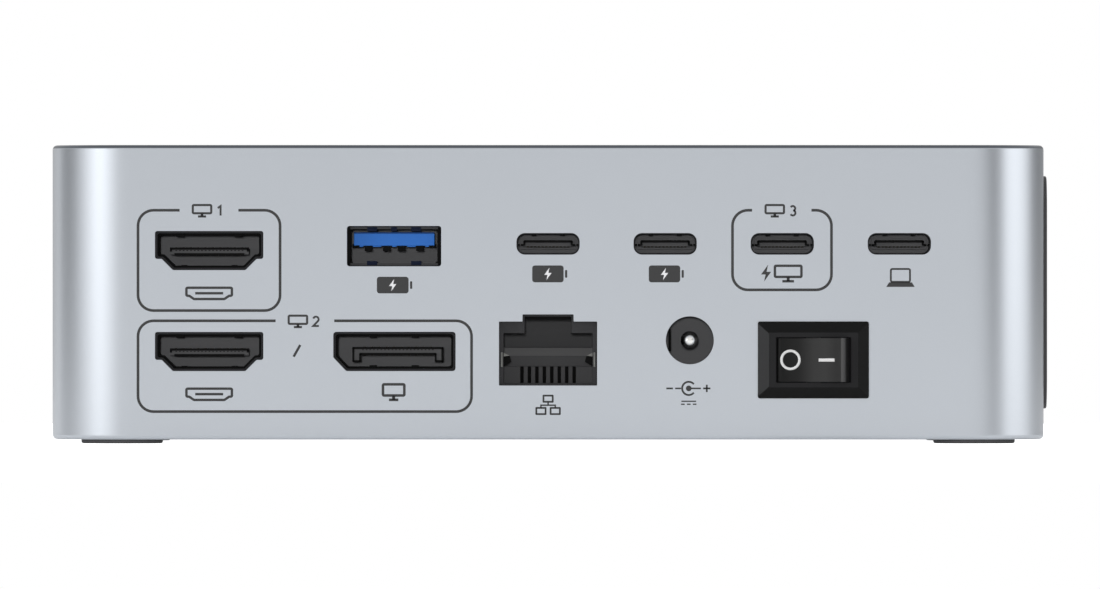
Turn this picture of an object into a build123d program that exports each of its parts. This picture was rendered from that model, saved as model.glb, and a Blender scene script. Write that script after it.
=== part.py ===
from build123d import *
import math
import os

# A docking station for a laptop: a closed aluminium housing with a rear panel of
# sockets and a rocker switch, two stacked circuit boards inside, and a base plate on feet.
# Millimetres, +Z up. The rear panel faces -Y. The origin is on the resting surface,
# below the centre of the housing.

# ---- Housing ----
body_width = 135.0
body_depth = 85.0
body_height = 40.0
corner_radius = 11.0
edge_radius = 0.6
side_wall = 2.0
port_wall = 1.4
roof_wall = 2.0
rim_wall = 0.9

# ---- Base plate, feet and screws ----
plate_thickness = 2.0
plate_gap = 0.1
foot_diameter = 11.1
foot_proud = 0.55
foot_bed = 0.5
foot_gap = 0.1
foot_edge_radius = 0.2
foot_inset = 9.5
post_diameter = 6.4
screw_diameter = 2.5
screw_length = 8.0
screw_head_diameter = 4.7
screw_sink_gap = 0.1
screw_drive_width = 1.5
screw_drive_depth = 0.7
thread_gap = 0.05

# ---- Side pad and status lens ----
pad_height = 31.8
pad_length = 62.0
pad_radius = 5.0
pad_proud = 0.5
pad_bed = 0.6
pad_gap = 0.05
pad_edge_radius = 0.2
lens_diameter = 3.4
lens_proud = 0.1
lens_tail = 0.6
lens_gap = 0.03
lens_y = 20.0
led_length = 1.6
led_width = 3.2
led_height = 1.2
led_gap = 0.4

# ---- Boards and what joins them ----
board_thickness = 1.6
board_margin = 1.1
board_corner_notch = 13.5
port_board_rise = 22.65
main_board_rise = 8.94
standoff_inset_x = 8.0
standoff_rear_y = -19.0
standoff_front_y = 22.0
standoff_width = 5.0
standoff_hole = 2.7
stud_diameter = 2.5
stud_length = 6.0
board_post_diameter = 6.0
board_screw_length = 5.0
board_screw_head = 4.6
board_screw_head_height = 1.7
link_length = 46.0
link_width = 5.2
link_y = 31.0
link_base_height = 2.6
link_blade_thickness = 1.3
link_blade_gap = 0.15
link_blade_height = 5.5
link_slot_depth = 6.0

# ---- Parts on the boards ----
chip_height = 1.1
chip_sizes = ((14.0, -38.0, -8.0), (10.0, -14.0, -8.0), (10.0, 12.0, -8.0), (8.0, 36.0, -8.0))
main_chip_sizes = ((12.0, -30.0, 2.0), (9.0, -6.0, 6.0), (7.0, 14.0, 2.0))
pad_thickness = 0.6
pad_chip_margin = 0.5
spreader_length = 100.0
spreader_width = 30.0
spreader_thickness = 2.0
spreader_y = -6.0
fin_count = 9
fin_thickness = 1.2
fin_height = 6.5
fin_pitch = 3.4
inductor_size = 7.0
inductor_height = 3.6
inductor_radius = 1.0
inductor_places = ((30.0, 6.0), (40.0, 6.0), (50.0, 6.0))
capacitor_diameter = 6.3
capacitor_height = 6.4
capacitor_places = ((24.0, 16.0), (33.0, 16.0), (42.0, 16.0))
transformer_length = 13.0
transformer_width = 7.0
transformer_height = 5.4
transformer_gap = 4.0

# ---- Sockets: what they share ----
socket_gap = 0.1
core_gap = 0.05
shell_gauge = 0.3
tongue_setback = 0.7
tab_width = 2.2
socket_back = 2.0

# ---- Video sockets: 19 contacts, shouldered mouth ----
video_x = -46.02
video_rise = 3.02
video_width = 14.7
video_height = 5.28
video_side = 3.76
video_shoulder = 12.88
video_floor = 9.84
video_corner = 0.3
video_depth = 11.0
video_cavity = 8.0
video_tongue_width = 10.7
video_tongue_thickness = 0.88
video_tongue_drop = 0.11
video_pitch = 1.0
video_upper_contacts = 10
video_lower_contacts = 9

# ---- Display socket: 20 contacts, one cut corner ----
display_x = -20.86
display_rise = 3.03
display_width = 16.59
display_height = 5.3
display_cut_x = 1.75
display_cut_z = 1.85
display_corner = 0.4
display_depth = 11.0
display_cavity = 8.0
display_tongue_width = 12.35
display_tongue_top = 0.54
display_tongue_thickness = 0.97
display_leg_width = 1.1
display_leg_height = 0.97
display_tongue_shift = 0.45
display_pitch = 1.0
display_row_contacts = 10

# ---- Flat data sockets: four wide contacts under a tongue ----
data_x = -20.91
front_data_x = -24.0
data_rise = 3.62
data_width = 12.79
data_height = 5.46
data_corner = 0.35
data_depth = 14.0
data_cavity = 9.0
data_tongue_width = 10.96
data_tongue_thickness = 1.86
data_tongue_foot = -0.02
data_contact_width = 1.1
data_contact_offsets = (-3.5, -1.0, 1.0, 3.5)

# ---- Oval data sockets: 24 contacts on a thin tongue ----
oval_x = 0.0
oval_pitch = 15.9
oval_count = 4
front_oval_x = 0.0
oval_rise = 3.93
oval_width = 8.57
oval_height = 2.9
oval_radius = 1.15
oval_gauge = 0.15
oval_depth = 8.6
oval_cavity = 6.2
oval_tongue_width = 6.69
oval_tongue_thickness = 0.7
oval_root_width = 7.4
oval_root_thickness = 1.5
oval_root_length = 1.6
oval_contact_pitch = 0.5
oval_row_contacts = 12
contact_thickness = 0.12
contact_width = 0.3

# ---- Network socket: latch slot upwards, eight contact wires ----
network_x = 0.0
network_drop = 1.59
network_width = 13.32
network_height = 8.67
latch_width = 6.92
latch_height = 0.97
network_lip_side = 0.61
network_lip_low = 0.28
network_ledge = 1.59
network_body_width = 15.9
network_body_top = 2.43
network_body_bottom = 1.4
network_depth = 15.5
network_cavity = 13.0
network_shield_gauge = 0.25
network_shield_gap = 0.1
network_clip_low = 2.5
network_clip_height = 2.03
network_flange = 1.0
comb_setback = 6.0
comb_height = 2.27
comb_step = 1.5
comb_step_height = 1.4
comb_slope_height = 1.19
wire_pitch = 1.016
wire_count = 8
wire_slot = 0.45
wire_width = 0.32
wire_thickness = 0.35

# ---- Power inlet: barrel socket with a centre pin ----
inlet_x = 19.25
inlet_rise = 4.54
inlet_bore = 6.5
inlet_pin_diameter = 2.45
inlet_pin_dome = 1.0
inlet_root_diameter = 1.8
inlet_body_width = 9.0
inlet_body_depth = 13.5
inlet_cavity = 10.0
inlet_pin_setback = 1.0
inlet_leaf_thickness = 0.25
inlet_leaf_height = 3.0
inlet_leaf_inset = 0.69
inlet_leaf_setback = 1.2
inlet_leaf_slot_gap = 0.05

# ---- Rocker switch ----
switch_x = 36.02
switch_rise = 10.81
bezel_width = 15.08
bezel_height = 10.44
bezel_flange = 0.45
bezel_slope = 1.5
bezel_rise = 1.4
bezel_corner = 0.5
switch_body_width = 13.2
switch_body_height = 8.8
switch_body_depth = 12.0
switch_panel_gap = 0.1
rocker_opening_width = 10.2
rocker_opening_height = 6.16
rocker_end_gap = 0.1
rocker_side_gap = 0.08
rocker_throw = 22.0
rocker_pivot_proud = 0.65
rocker_crown = 2.4
rocker_middle = 1.35
rocker_keel = 2.0
rocker_keel_width = 6.4
rocker_edge_radius = 0.5
rocker_well = 3.4
trunnion_diameter = 1.8
trunnion_length = 0.7
trunnion_gap = 0.06
snap_thickness = 0.5
snap_length = 2.4
snap_height = 3.0
terminal_spacing = 7.0
terminal_thickness = 0.8
terminal_height = 4.0
terminal_length = 7.0
lead_diameter = 1.3
lead_pitch = 2.5
lead_first_run = 3.4
lead_middle_run = 5.0
lead_last_run = 3.4
lead_header_width = 7.4
lead_header_depth = 6.0
lead_header_wall = 1.4
board_notch_margin = 1.2

# ---- Audio socket ----
audio_x = 24.0
audio_bore = 3.6
audio_rise = 2.9
audio_body_width = 7.0
audio_body_height = 5.6
audio_depth = 12.0
audio_nose_diameter = 6.0
audio_nose_gap = 0.1
audio_nose_setback = 0.2
audio_contact_length = 2.0
audio_contact_thickness = 0.3
audio_contact_width = 1.0
audio_contact_gap = 0.1
audio_slot_width = 1.2
audio_slot_reach = 0.5
audio_contact_places = (3.0, 6.0, 9.0)

# ---- Places that follow from the sizes above ----
floor_z = foot_proud
plate_top = floor_z + plate_thickness
roof_z = floor_z + body_height
ceiling_z = roof_z - roof_wall
port_board_top = floor_z + port_board_rise
main_board_top = floor_z + main_board_rise
middle_z = floor_z + body_height / 2
cavity_width = body_width - 2 * side_wall
cavity_depth = body_depth - 2 * port_wall
cavity_radius = corner_radius - side_wall
foot_x = body_width / 2 - foot_inset
foot_y = body_depth / 2 - foot_inset
board_width = cavity_width - 2 * board_margin
board_depth = cavity_depth - 2 * board_margin
standoff_x = body_width / 2 - standoff_inset_x
data_tongue_middle = data_tongue_foot + data_tongue_thickness / 2
pivot_y = -body_depth / 2 - rocker_pivot_proud
switch_z = floor_z + switch_rise
network_z = main_board_top - network_drop
inlet_z = main_board_top + inlet_rise
network_back = network_depth + network_shield_gap + network_shield_gauge
oval_places = [oval_x + index * oval_pitch for index in range(oval_count)]


def rear_face(x, z, inset=0.0):
    """Plane on the rear panel at a socket's centre, facing outwards, set in by inset."""
    return Plane(origin=(x, inset - body_depth / 2, z), x_dir=(1, 0, 0), z_dir=(0, -1, 0))


def front_face(x, z, inset=0.0):
    """Plane on the front panel at a socket's centre, facing outwards, set in by inset."""
    return Plane(origin=(x, body_depth / 2 - inset, z), x_dir=(-1, 0, 0), z_dir=(0, 1, 0))


def save(piece, name):
    """Label a finished piece and write it as its own STEP file."""
    piece.part.label = name
    export_step(piece.part, f"parts/{name}.step")


def corners(x, y):
    """The four corners of a rectangle about the origin."""
    return [(side * x, end * y) for side in (-1, 1) for end in (-1, 1)]


# ---- Mouth outlines, each about its own centre ----
def video_outline(grow=0.0):
    """Full width above, a shoulder on each side, then slopes down to a narrow floor."""
    top = video_height / 2
    shoulder_z = top - video_side
    right = [
        (video_width / 2, top),
        (video_width / 2, shoulder_z),
        (video_shoulder / 2, shoulder_z),
        (video_floor / 2, -top),
    ]
    left = [(-x, z) for x, z in reversed(right)]
    with BuildSketch() as outline:
        with BuildLine():
            Polyline(*right, *left, close=True)
        make_face()
        if grow:
            offset(amount=grow, kind=Kind.INTERSECTION)
        fillet(outline.vertices(), video_corner)
    return outline.sketch


def display_outline(grow=0.0):
    """A rectangle with its lower left corner cut off."""
    side = display_width / 2
    top = display_height / 2
    with BuildSketch() as outline:
        with BuildLine():
            Polyline(
                (-side, top),
                (side, top),
                (side, -top),
                (display_cut_x - side, -top),
                (-side, display_cut_z - top),
                close=True,
            )
        make_face()
        if grow:
            offset(amount=grow, kind=Kind.INTERSECTION)
        fillet(outline.vertices(), display_corner)
    return outline.sketch


def data_outline(grow=0.0):
    """A rectangle with small corner radii."""
    with BuildSketch() as outline:
        RectangleRounded(data_width + 2 * grow, data_height + 2 * grow, data_corner)
    return outline.sketch


def oval_outline(grow=0.0):
    """A flat rounded slot."""
    with BuildSketch() as outline:
        RectangleRounded(oval_width + 2 * grow, oval_height + 2 * grow, oval_radius + grow)
    return outline.sketch


def network_outline():
    """A square mouth with a narrower latch slot above it, from its lower edge up."""
    with BuildSketch() as outline:
        with Locations((0, network_height / 2)):
            Rectangle(network_width, network_height)
        with Locations((0, network_height + latch_height / 2)):
            Rectangle(latch_width, latch_height)
    return outline.sketch


# ---- Housing, base plate, feet, side pad, lens ----
def body_outline(inset):
    """The housing's plan outline, set in by inset."""
    with BuildSketch() as outline:
        RectangleRounded(body_width - 2 * inset, body_depth - 2 * inset, corner_radius - inset)
    return outline.sketch


def make_housing():
    """Closed top and four walls in one piece, with corner posts and board posts inside."""
    with BuildPart() as housing:
        with BuildSketch(Plane.XY.offset(floor_z)):
            add(body_outline(0))
        extrude(amount=body_height)
        flat_faces = housing.faces().filter_by(Axis.Z)
        fillet(flat_faces.edges(), edge_radius)
        with BuildSketch(Plane.XY.offset(plate_top)):
            RectangleRounded(cavity_width, cavity_depth, cavity_radius)
        extrude(amount=ceiling_z - plate_top, mode=Mode.SUBTRACT)
        with BuildSketch(Plane.XY.offset(floor_z)):
            add(body_outline(rim_wall))
        extrude(amount=plate_thickness, mode=Mode.SUBTRACT)
        with BuildSketch(Plane.XY.offset(plate_top)):
            with Locations(corners(foot_x, foot_y)):
                Circle(post_diameter / 2)
        extrude(amount=ceiling_z - plate_top)
        with BuildSketch(Plane.XY.offset(plate_top)):
            with Locations(corners(foot_x, foot_y)):
                Circle(screw_diameter / 2 + thread_gap)
        extrude(amount=screw_length, mode=Mode.SUBTRACT)
        with BuildSketch(Plane.XY.offset(port_board_top)):
            with Locations(standoff_places()):
                Circle(board_post_diameter / 2)
        extrude(amount=ceiling_z - port_board_top)
        with BuildSketch(Plane.XY.offset(port_board_top)):
            with Locations(standoff_places()):
                Circle(stud_diameter / 2 + thread_gap)
        extrude(amount=stud_length, mode=Mode.SUBTRACT)
        for plane, outline in rear_mouths() + front_mouths():
            with BuildSketch(plane):
                add(outline)
            extrude(amount=-port_wall, mode=Mode.SUBTRACT)
        with BuildSketch(side_face(1)):
            RectangleRounded(pad_length, pad_height, pad_radius)
        extrude(amount=-pad_bed, mode=Mode.SUBTRACT)
        with BuildSketch(side_face(-1)):
            with Locations((-lens_y, 0)):
                Circle(lens_diameter / 2)
        extrude(amount=-side_wall, mode=Mode.SUBTRACT)
    save(housing, "housing")


def side_face(side):
    """Plane on the left (-1) or right (1) wall at mid height, facing outwards."""
    return Plane(origin=(side * body_width / 2, 0, middle_z), x_dir=(0, side, 0), z_dir=(side, 0, 0))


def standoff_places():
    """Where the boards are held, left and right, behind and in front."""
    return [(side * standoff_x, y) for side in (-1, 1) for y in (standoff_rear_y, standoff_front_y)]


def rear_mouths():
    """Each opening of the rear panel, as its plane and its outline."""
    mouths = [
        (rear_face(video_x, port_board_top + video_rise), video_outline()),
        (rear_face(video_x, main_board_top + video_rise), video_outline()),
        (rear_face(display_x, main_board_top + display_rise), display_outline()),
        (rear_face(data_x, port_board_top + data_rise), data_outline()),
        (rear_face(network_x, network_z), network_outline()),
        (rear_face(inlet_x, inlet_z), round_outline(inlet_bore)),
        (rear_face(switch_x, switch_z), switch_outline()),
    ]
    for x in oval_places:
        mouths.append((rear_face(x, port_board_top + oval_rise), oval_outline()))
    return mouths


def front_mouths():
    """Each opening of the front panel, as its plane and its outline."""
    return [
        (front_face(front_data_x, port_board_top + data_rise), data_outline()),
        (front_face(front_oval_x, port_board_top + oval_rise), oval_outline()),
        (
            front_face(audio_x, port_board_top + audio_rise),
            round_outline(audio_nose_diameter + 2 * audio_nose_gap),
        ),
    ]


def round_outline(diameter):
    """A plain round opening."""
    with BuildSketch() as outline:
        Circle(diameter / 2)
    return outline.sketch


def switch_outline():
    """The cut-out that the switch body passes through."""
    with BuildSketch() as outline:
        Rectangle(
            switch_body_width + 2 * switch_panel_gap,
            switch_body_height + 2 * switch_panel_gap,
        )
    return outline.sketch


def make_base_plate():
    """Plate let into the underside, with a round bed for each foot and a sunk screw hole in it."""
    with BuildPart() as plate:
        with BuildSketch(Plane.XY.offset(floor_z)):
            add(body_outline(rim_wall + plate_gap))
        extrude(amount=plate_thickness)
        with BuildSketch(Plane.XY.offset(floor_z)):
            with Locations(corners(foot_x, foot_y)):
                Circle(foot_diameter / 2 + foot_gap)
        extrude(amount=foot_bed, mode=Mode.SUBTRACT)
        for x, y in corners(foot_x, foot_y):
            with Locations(Plane(origin=(x, y, floor_z + foot_bed), z_dir=(0, 0, -1))):
                CounterSinkHole(
                    radius=screw_diameter / 2 + screw_sink_gap,
                    counter_sink_radius=screw_head_diameter / 2 + screw_sink_gap,
                    counter_sink_angle=90,
                )
    save(plate, "base_plate")


def make_base_screws():
    """Four sunk screws that hold the base plate to the corner posts, hidden by the feet."""
    head_z = floor_z + foot_bed
    head_height = (screw_head_diameter - screw_diameter) / 2
    with BuildPart() as screws:
        for x, y in corners(foot_x, foot_y):
            with Locations((x, y, head_z + head_height / 2)):
                Cone(screw_head_diameter / 2, screw_diameter / 2, head_height)
            with Locations((x, y, head_z + screw_length / 2)):
                Cylinder(screw_diameter / 2, screw_length)
        with BuildSketch(Plane.XY.offset(head_z)):
            with Locations(corners(foot_x, foot_y)):
                RegularPolygon(screw_drive_width / 2, 6, major_radius=False)
        extrude(amount=screw_drive_depth, mode=Mode.SUBTRACT)
    save(screws, "base_screws")


def make_feet():
    """Four round rubber feet, each set in its bed over a screw."""
    names = ("foot_rear_left", "foot_front_left", "foot_rear_right", "foot_front_right")
    for name, (x, y) in zip(names, corners(foot_x, foot_y)):
        with BuildPart() as foot:
            with BuildSketch(Plane.XY):
                with Locations((x, y)):
                    Circle(foot_diameter / 2)
            extrude(amount=foot_proud + foot_bed)
            fillet(foot.edges().group_by(Axis.Z)[0], foot_edge_radius)
        save(foot, name)


def make_side_pad():
    """Rubber pad on the right side, so the dock can also stand on edge."""
    with BuildPart() as pad:
        with BuildSketch(side_face(1).offset(-pad_bed)):
            RectangleRounded(pad_length - 2 * pad_gap, pad_height - 2 * pad_gap, pad_radius - pad_gap)
        extrude(amount=pad_bed + pad_proud)
        fillet(pad.edges().group_by(Axis.X)[-1], pad_edge_radius)
    save(pad, "side_pad")


def make_status_lens():
    """Clear light guide through the left wall, with its light source on the port board."""
    with BuildPart() as lens:
        with BuildSketch(side_face(-1).offset(lens_proud)):
            with Locations((-lens_y, 0)):
                Circle(lens_diameter / 2 - lens_gap)
        extrude(amount=-(side_wall + lens_proud + lens_tail))
    save(lens, "side_status_lens")
    lens_end = -body_width / 2 + side_wall + lens_tail
    with BuildPart() as led:
        with BuildSketch(Plane.XY.offset(port_board_top - board_thickness)):
            with Locations((lens_end + led_gap + led_length / 2, lens_y)):
                Rectangle(led_length, led_width)
        extrude(amount=-led_height)
    save(led, "status_led")


# ---- Boards ----
def board_outline(notched):
    """Board plan: a rectangle with its corners cut away for the posts, and the switch notch."""
    with BuildSketch() as outline:
        Rectangle(board_width, board_depth)
        with Locations(corners(board_width / 2, board_depth / 2)):
            Rectangle(2 * board_corner_notch, 2 * board_corner_notch, mode=Mode.SUBTRACT)
        with Locations(standoff_places()):
            Circle(standoff_hole / 2, mode=Mode.SUBTRACT)
        if notched:
            notch_width = switch_body_width + 2 * snap_thickness + 2 * board_notch_margin
            notch_reach = switch_body_depth + terminal_length + lead_first_run + lead_middle_run
            with Locations((switch_x, -body_depth / 2)):
                Rectangle(notch_width, 2 * notch_reach, mode=Mode.SUBTRACT)
            hole_width = network_body_width + 2 * (network_shield_gap + network_shield_gauge + core_gap)
            hole_reach = port_wall + socket_gap + network_back + core_gap
            with Locations((network_x, -body_depth / 2)):
                Rectangle(hole_width, 2 * hole_reach, mode=Mode.SUBTRACT)
    return outline.sketch


def make_boards():
    """The lower main board and the upper port board."""
    for name, top, notched in (("main_board", main_board_top, True), ("port_board", port_board_top, False)):
        with BuildPart() as board:
            with BuildSketch(Plane.XY.offset(top - board_thickness)):
                add(board_outline(notched))
            extrude(amount=board_thickness)
        save(board, name)


def make_standoffs():
    """Brass hexagon spacers: a stud up through the port board, a tapped hole below."""
    low = main_board_top
    high = port_board_top - board_thickness
    with BuildPart() as standoffs:
        with BuildSketch(Plane.XY.offset(low)):
            with Locations(standoff_places()):
                RegularPolygon(standoff_width / 2, 6, major_radius=False)
        extrude(amount=high - low)
        with BuildSketch(Plane.XY.offset(high)):
            with Locations(standoff_places()):
                Circle(stud_diameter / 2)
        extrude(amount=board_thickness + stud_length)
        with BuildSketch(Plane.XY.offset(low)):
            with Locations(standoff_places()):
                Circle(screw_diameter / 2 + thread_gap)
        extrude(amount=board_screw_length, mode=Mode.SUBTRACT)
    save(standoffs, "board_standoffs")


def make_board_screws():
    """Pan head screws that hold the main board up against the spacers."""
    board_bottom = main_board_top - board_thickness
    with BuildPart() as screws:
        with BuildSketch(Plane.XY.offset(board_bottom - board_screw_head_height)):
            with Locations(standoff_places()):
                Circle(board_screw_head / 2)
        extrude(amount=board_screw_head_height)
        fillet(screws.edges().group_by(Axis.Z)[0], board_screw_head_height / 4)
        with BuildSketch(Plane.XY.offset(board_bottom)):
            with Locations(standoff_places()):
                Circle(screw_diameter / 2)
        extrude(amount=board_screw_length)
        with BuildSketch(Plane.XY.offset(board_bottom - board_screw_head_height)):
            with Locations(standoff_places()):
                RegularPolygon(screw_drive_width / 2, 6, major_radius=False)
        extrude(amount=screw_drive_depth, mode=Mode.SUBTRACT)
    save(screws, "board_screws")


def make_links():
    """Board to board connector: a header with a blade below, a socket with a slot above."""
    with BuildPart() as header:
        with Locations((0, link_y, main_board_top + link_base_height / 2)):
            Box(link_length, link_width, link_base_height)
        blade_base = main_board_top + link_base_height
        blade_top = port_board_top - board_thickness - link_gap_height() + link_blade_height
        with Locations((0, link_y, (blade_base + blade_top) / 2)):
            Box(link_length - link_width, link_blade_thickness, blade_top - blade_base)
    save(header, "link_header")
    with BuildPart() as socket:
        high = port_board_top - board_thickness
        low = high - link_gap_height()
        with Locations((0, link_y, (low + high) / 2)):
            Box(link_length, link_width, high - low)
        with Locations((0, link_y, low + link_slot_depth / 2)):
            Box(
                link_length - link_width + 2 * link_blade_gap,
                link_blade_thickness + 2 * link_blade_gap,
                link_slot_depth,
                mode=Mode.SUBTRACT,
            )
    save(socket, "link_socket")


def link_gap_height():
    """Height of the link socket: what is left above the header, less a small gap."""
    between = port_board_top - board_thickness - main_board_top
    return between - link_base_height - link_blade_gap


def make_chips():
    """Square chips on both boards, soft pads on the upper ones, and the finned plate above."""
    for name, top, sizes in (
        ("port_chips", port_board_top, chip_sizes),
        ("main_chips", main_board_top, main_chip_sizes),
    ):
        with BuildPart() as chips:
            with BuildSketch(Plane.XY.offset(top)):
                for size, x, y in sizes:
                    with Locations((x, y)):
                        Rectangle(size, size)
            extrude(amount=chip_height)
        save(chips, name)
    with BuildPart() as pads:
        with BuildSketch(Plane.XY.offset(port_board_top + chip_height)):
            for size, x, y in chip_sizes:
                with Locations((x, y)):
                    Rectangle(size - 2 * pad_chip_margin, size - 2 * pad_chip_margin)
        extrude(amount=pad_thickness)
    save(pads, "thermal_pads")


def make_heat_spreader():
    """Aluminium plate with a row of fins, carried by the soft pads."""
    low = port_board_top + chip_height + pad_thickness
    with BuildPart() as spreader:
        with Locations((0, spreader_y, low + spreader_thickness / 2)):
            Box(spreader_length, spreader_width, spreader_thickness)
        with Locations((0, spreader_y, low + spreader_thickness + fin_height / 2)):
            with GridLocations(0, fin_pitch, 1, fin_count):
                Box(spreader_length, fin_thickness, fin_height)
    save(spreader, "heat_spreader")


def make_power_parts():
    """Square power inductors and round capacitors of the supply, on the main board."""
    with BuildPart() as inductors:
        with BuildSketch(Plane.XY.offset(main_board_top)):
            with Locations(inductor_places):
                RectangleRounded(inductor_size, inductor_size, inductor_radius)
        extrude(amount=inductor_height)
    save(inductors, "inductors")
    with BuildPart() as capacitors:
        with BuildSketch(Plane.XY.offset(main_board_top)):
            with Locations(capacitor_places):
                Circle(capacitor_diameter / 2)
        extrude(amount=capacitor_height)
        fillet(capacitors.edges().group_by(Axis.Z)[-1], capacitor_diameter / 12)
    save(capacitors, "capacitors")


def make_network_transformer():
    """Moulded transformer behind the network socket."""
    y = -body_depth / 2 + port_wall + socket_gap + network_back + transformer_gap
    with BuildPart() as transformer:
        with Locations((network_x, y + transformer_width / 2, main_board_top + transformer_height / 2)):
            Box(transformer_length, transformer_width, transformer_height)
    save(transformer, "network_transformer")


# ---- Sockets with a sheet metal shell and a moulded core ----
def make_shell(name, face, outline, gauge, depth, half_width, rise):
    """A drawn metal shell behind the panel, with a solder tab down to the board on each side."""
    with BuildPart() as shell:
        with BuildSketch(face):
            add(outline(0))
            add(outline(-gauge), mode=Mode.SUBTRACT)
        extrude(amount=-depth)
        with BuildSketch(face.offset(-depth / 2)):
            with Locations(*[(side * (half_width + gauge / 2), -rise / 2) for side in (-1, 1)]):
                Rectangle(gauge, rise)
        extrude(amount=-tab_width)
    save(shell, name)


def add_core_block(face, outline, gauge, depth, cavity, width, rise, top):
    """The moulded block: its front fills the shell, its back stands on the board behind it."""
    with BuildPart() as block:
        with BuildSketch(face.offset(-cavity)):
            add(outline(-gauge - core_gap))
        extrude(amount=-(depth - cavity))
        with BuildSketch(face.offset(-depth - core_gap)):
            with Locations((0, (top - rise) / 2)):
                Rectangle(width, top + rise)
        extrude(amount=-socket_back)
        with BuildSketch(face.offset(-cavity)):
            add(outline(-gauge - 2 * core_gap))
        extrude(amount=-(depth + core_gap - cavity))
    return block.part


def make_video_socket(name, board_top):
    """Shell and core of one 19-contact video socket."""
    face = rear_face(video_x, board_top + video_rise, port_wall + socket_gap)
    make_shell(f"{name}_shell", face, video_outline, shell_gauge, video_depth, video_width / 2, video_rise)
    with BuildPart() as core:
        add(
            add_core_block(
                face,
                video_outline,
                shell_gauge,
                video_depth,
                video_cavity,
                video_width,
                video_rise,
                video_height / 2,
            )
        )
        with BuildSketch(face.offset(-tongue_setback)):
            with Locations((0, -video_tongue_drop)):
                Rectangle(video_tongue_width, video_tongue_thickness)
        extrude(amount=-(video_cavity - tongue_setback))
    save(core, f"{name}_core")


def make_display_socket():
    """Shell and core of the 20-contact display socket."""
    face = rear_face(display_x, main_board_top + display_rise, port_wall + socket_gap)
    make_shell(
        "display_socket_shell",
        face,
        display_outline,
        shell_gauge,
        display_depth,
        display_width / 2,
        display_rise,
    )
    leg_x = (display_tongue_width - display_leg_width) / 2
    low = display_tongue_top - display_tongue_thickness
    with BuildPart() as core:
        add(
            add_core_block(
                face,
                display_outline,
                shell_gauge,
                display_depth,
                display_cavity,
                display_width,
                display_rise,
                display_height / 2,
            )
        )
        with BuildSketch(face.offset(-tongue_setback)):
            with Locations((display_tongue_shift, (display_tongue_top + low) / 2)):
                Rectangle(display_tongue_width, display_tongue_thickness)
            legs = [(display_tongue_shift + side * leg_x, low - display_leg_height / 2) for side in (-1, 1)]
            with Locations(*legs):
                Rectangle(display_leg_width, display_leg_height)
        extrude(amount=-(display_cavity - tongue_setback))
    save(core, "display_socket_core")


def contact_rows(face, setback, length, rows):
    """Flat contacts lying along a tongue; rows are (count, pitch, width, face height, side)."""
    with BuildPart() as contacts:
        with BuildSketch(face.offset(-setback)):
            for places, width, height, side in rows:
                with Locations(*[(x, height + side * contact_thickness / 2) for x in places]):
                    Rectangle(width, contact_thickness)
        extrude(amount=-length)
    return contacts.part


def spaced(count, pitch):
    """Places of a row of contacts about its middle."""
    return [(index - (count - 1) / 2) * pitch for index in range(count)]


def make_video_contacts():
    """Ten contacts above and nine below each video tongue."""
    top = video_tongue_thickness / 2 - video_tongue_drop
    low = -video_tongue_thickness / 2 - video_tongue_drop
    rows = (
        (spaced(video_upper_contacts, video_pitch), contact_width, top, 1),
        (spaced(video_lower_contacts, video_pitch), contact_width, low, -1),
    )
    with BuildPart() as contacts:
        for board_top in (port_board_top, main_board_top):
            face = rear_face(video_x, board_top + video_rise, port_wall + socket_gap)
            add(contact_rows(face, 2 * tongue_setback, video_cavity - 2 * tongue_setback, rows))
    save(contacts, "video_contacts")


def make_display_contacts():
    """Ten contacts on each side of the display tongue."""
    face = rear_face(display_x, main_board_top + display_rise, port_wall + socket_gap)
    places = [display_tongue_shift + x for x in spaced(display_row_contacts, display_pitch)]
    rows = (
        (places, contact_width, display_tongue_top, 1),
        (places, contact_width, display_tongue_top - display_tongue_thickness, -1),
    )
    with BuildPart() as contacts:
        add(contact_rows(face, 2 * tongue_setback, display_cavity - 2 * tongue_setback, rows))
    save(contacts, "display_contacts")


def data_faces():
    """The rear and the front flat data socket, as name and plane."""
    inset = port_wall + socket_gap
    z = port_board_top + data_rise
    return (
        ("data_socket", rear_face(data_x, z, inset)),
        ("front_data_socket", front_face(front_data_x, z, inset)),
    )


def make_data_sockets():
    """Shell and blue core of each flat data socket, and the contacts of both."""
    for name, face in data_faces():
        make_shell(f"{name}_shell", face, data_outline, shell_gauge, data_depth, data_width / 2, data_rise)
        with BuildPart() as core:
            add(
                add_core_block(
                    face,
                    data_outline,
                    shell_gauge,
                    data_depth,
                    data_cavity,
                    data_width,
                    data_rise,
                    data_height / 2,
                )
            )
            with BuildSketch(face.offset(-tongue_setback)):
                with Locations((0, data_tongue_middle)):
                    Rectangle(data_tongue_width, data_tongue_thickness)
            extrude(amount=-(data_cavity - tongue_setback))
        save(core, f"{name}_core")
    rows = ((data_contact_offsets, data_contact_width, data_tongue_foot, -1),)
    with BuildPart() as contacts:
        for name, face in data_faces():
            add(contact_rows(face, 2 * tongue_setback, data_cavity - 2 * tongue_setback, rows))
    save(contacts, "data_contacts")


def oval_faces():
    """The four rear and the one front oval socket, as name and plane."""
    inset = port_wall + socket_gap
    z = port_board_top + oval_rise
    faces = [(f"oval_socket_{index + 1}", rear_face(x, z, inset)) for index, x in enumerate(oval_places)]
    return faces + [("front_oval_socket", front_face(front_oval_x, z, inset))]


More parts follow.
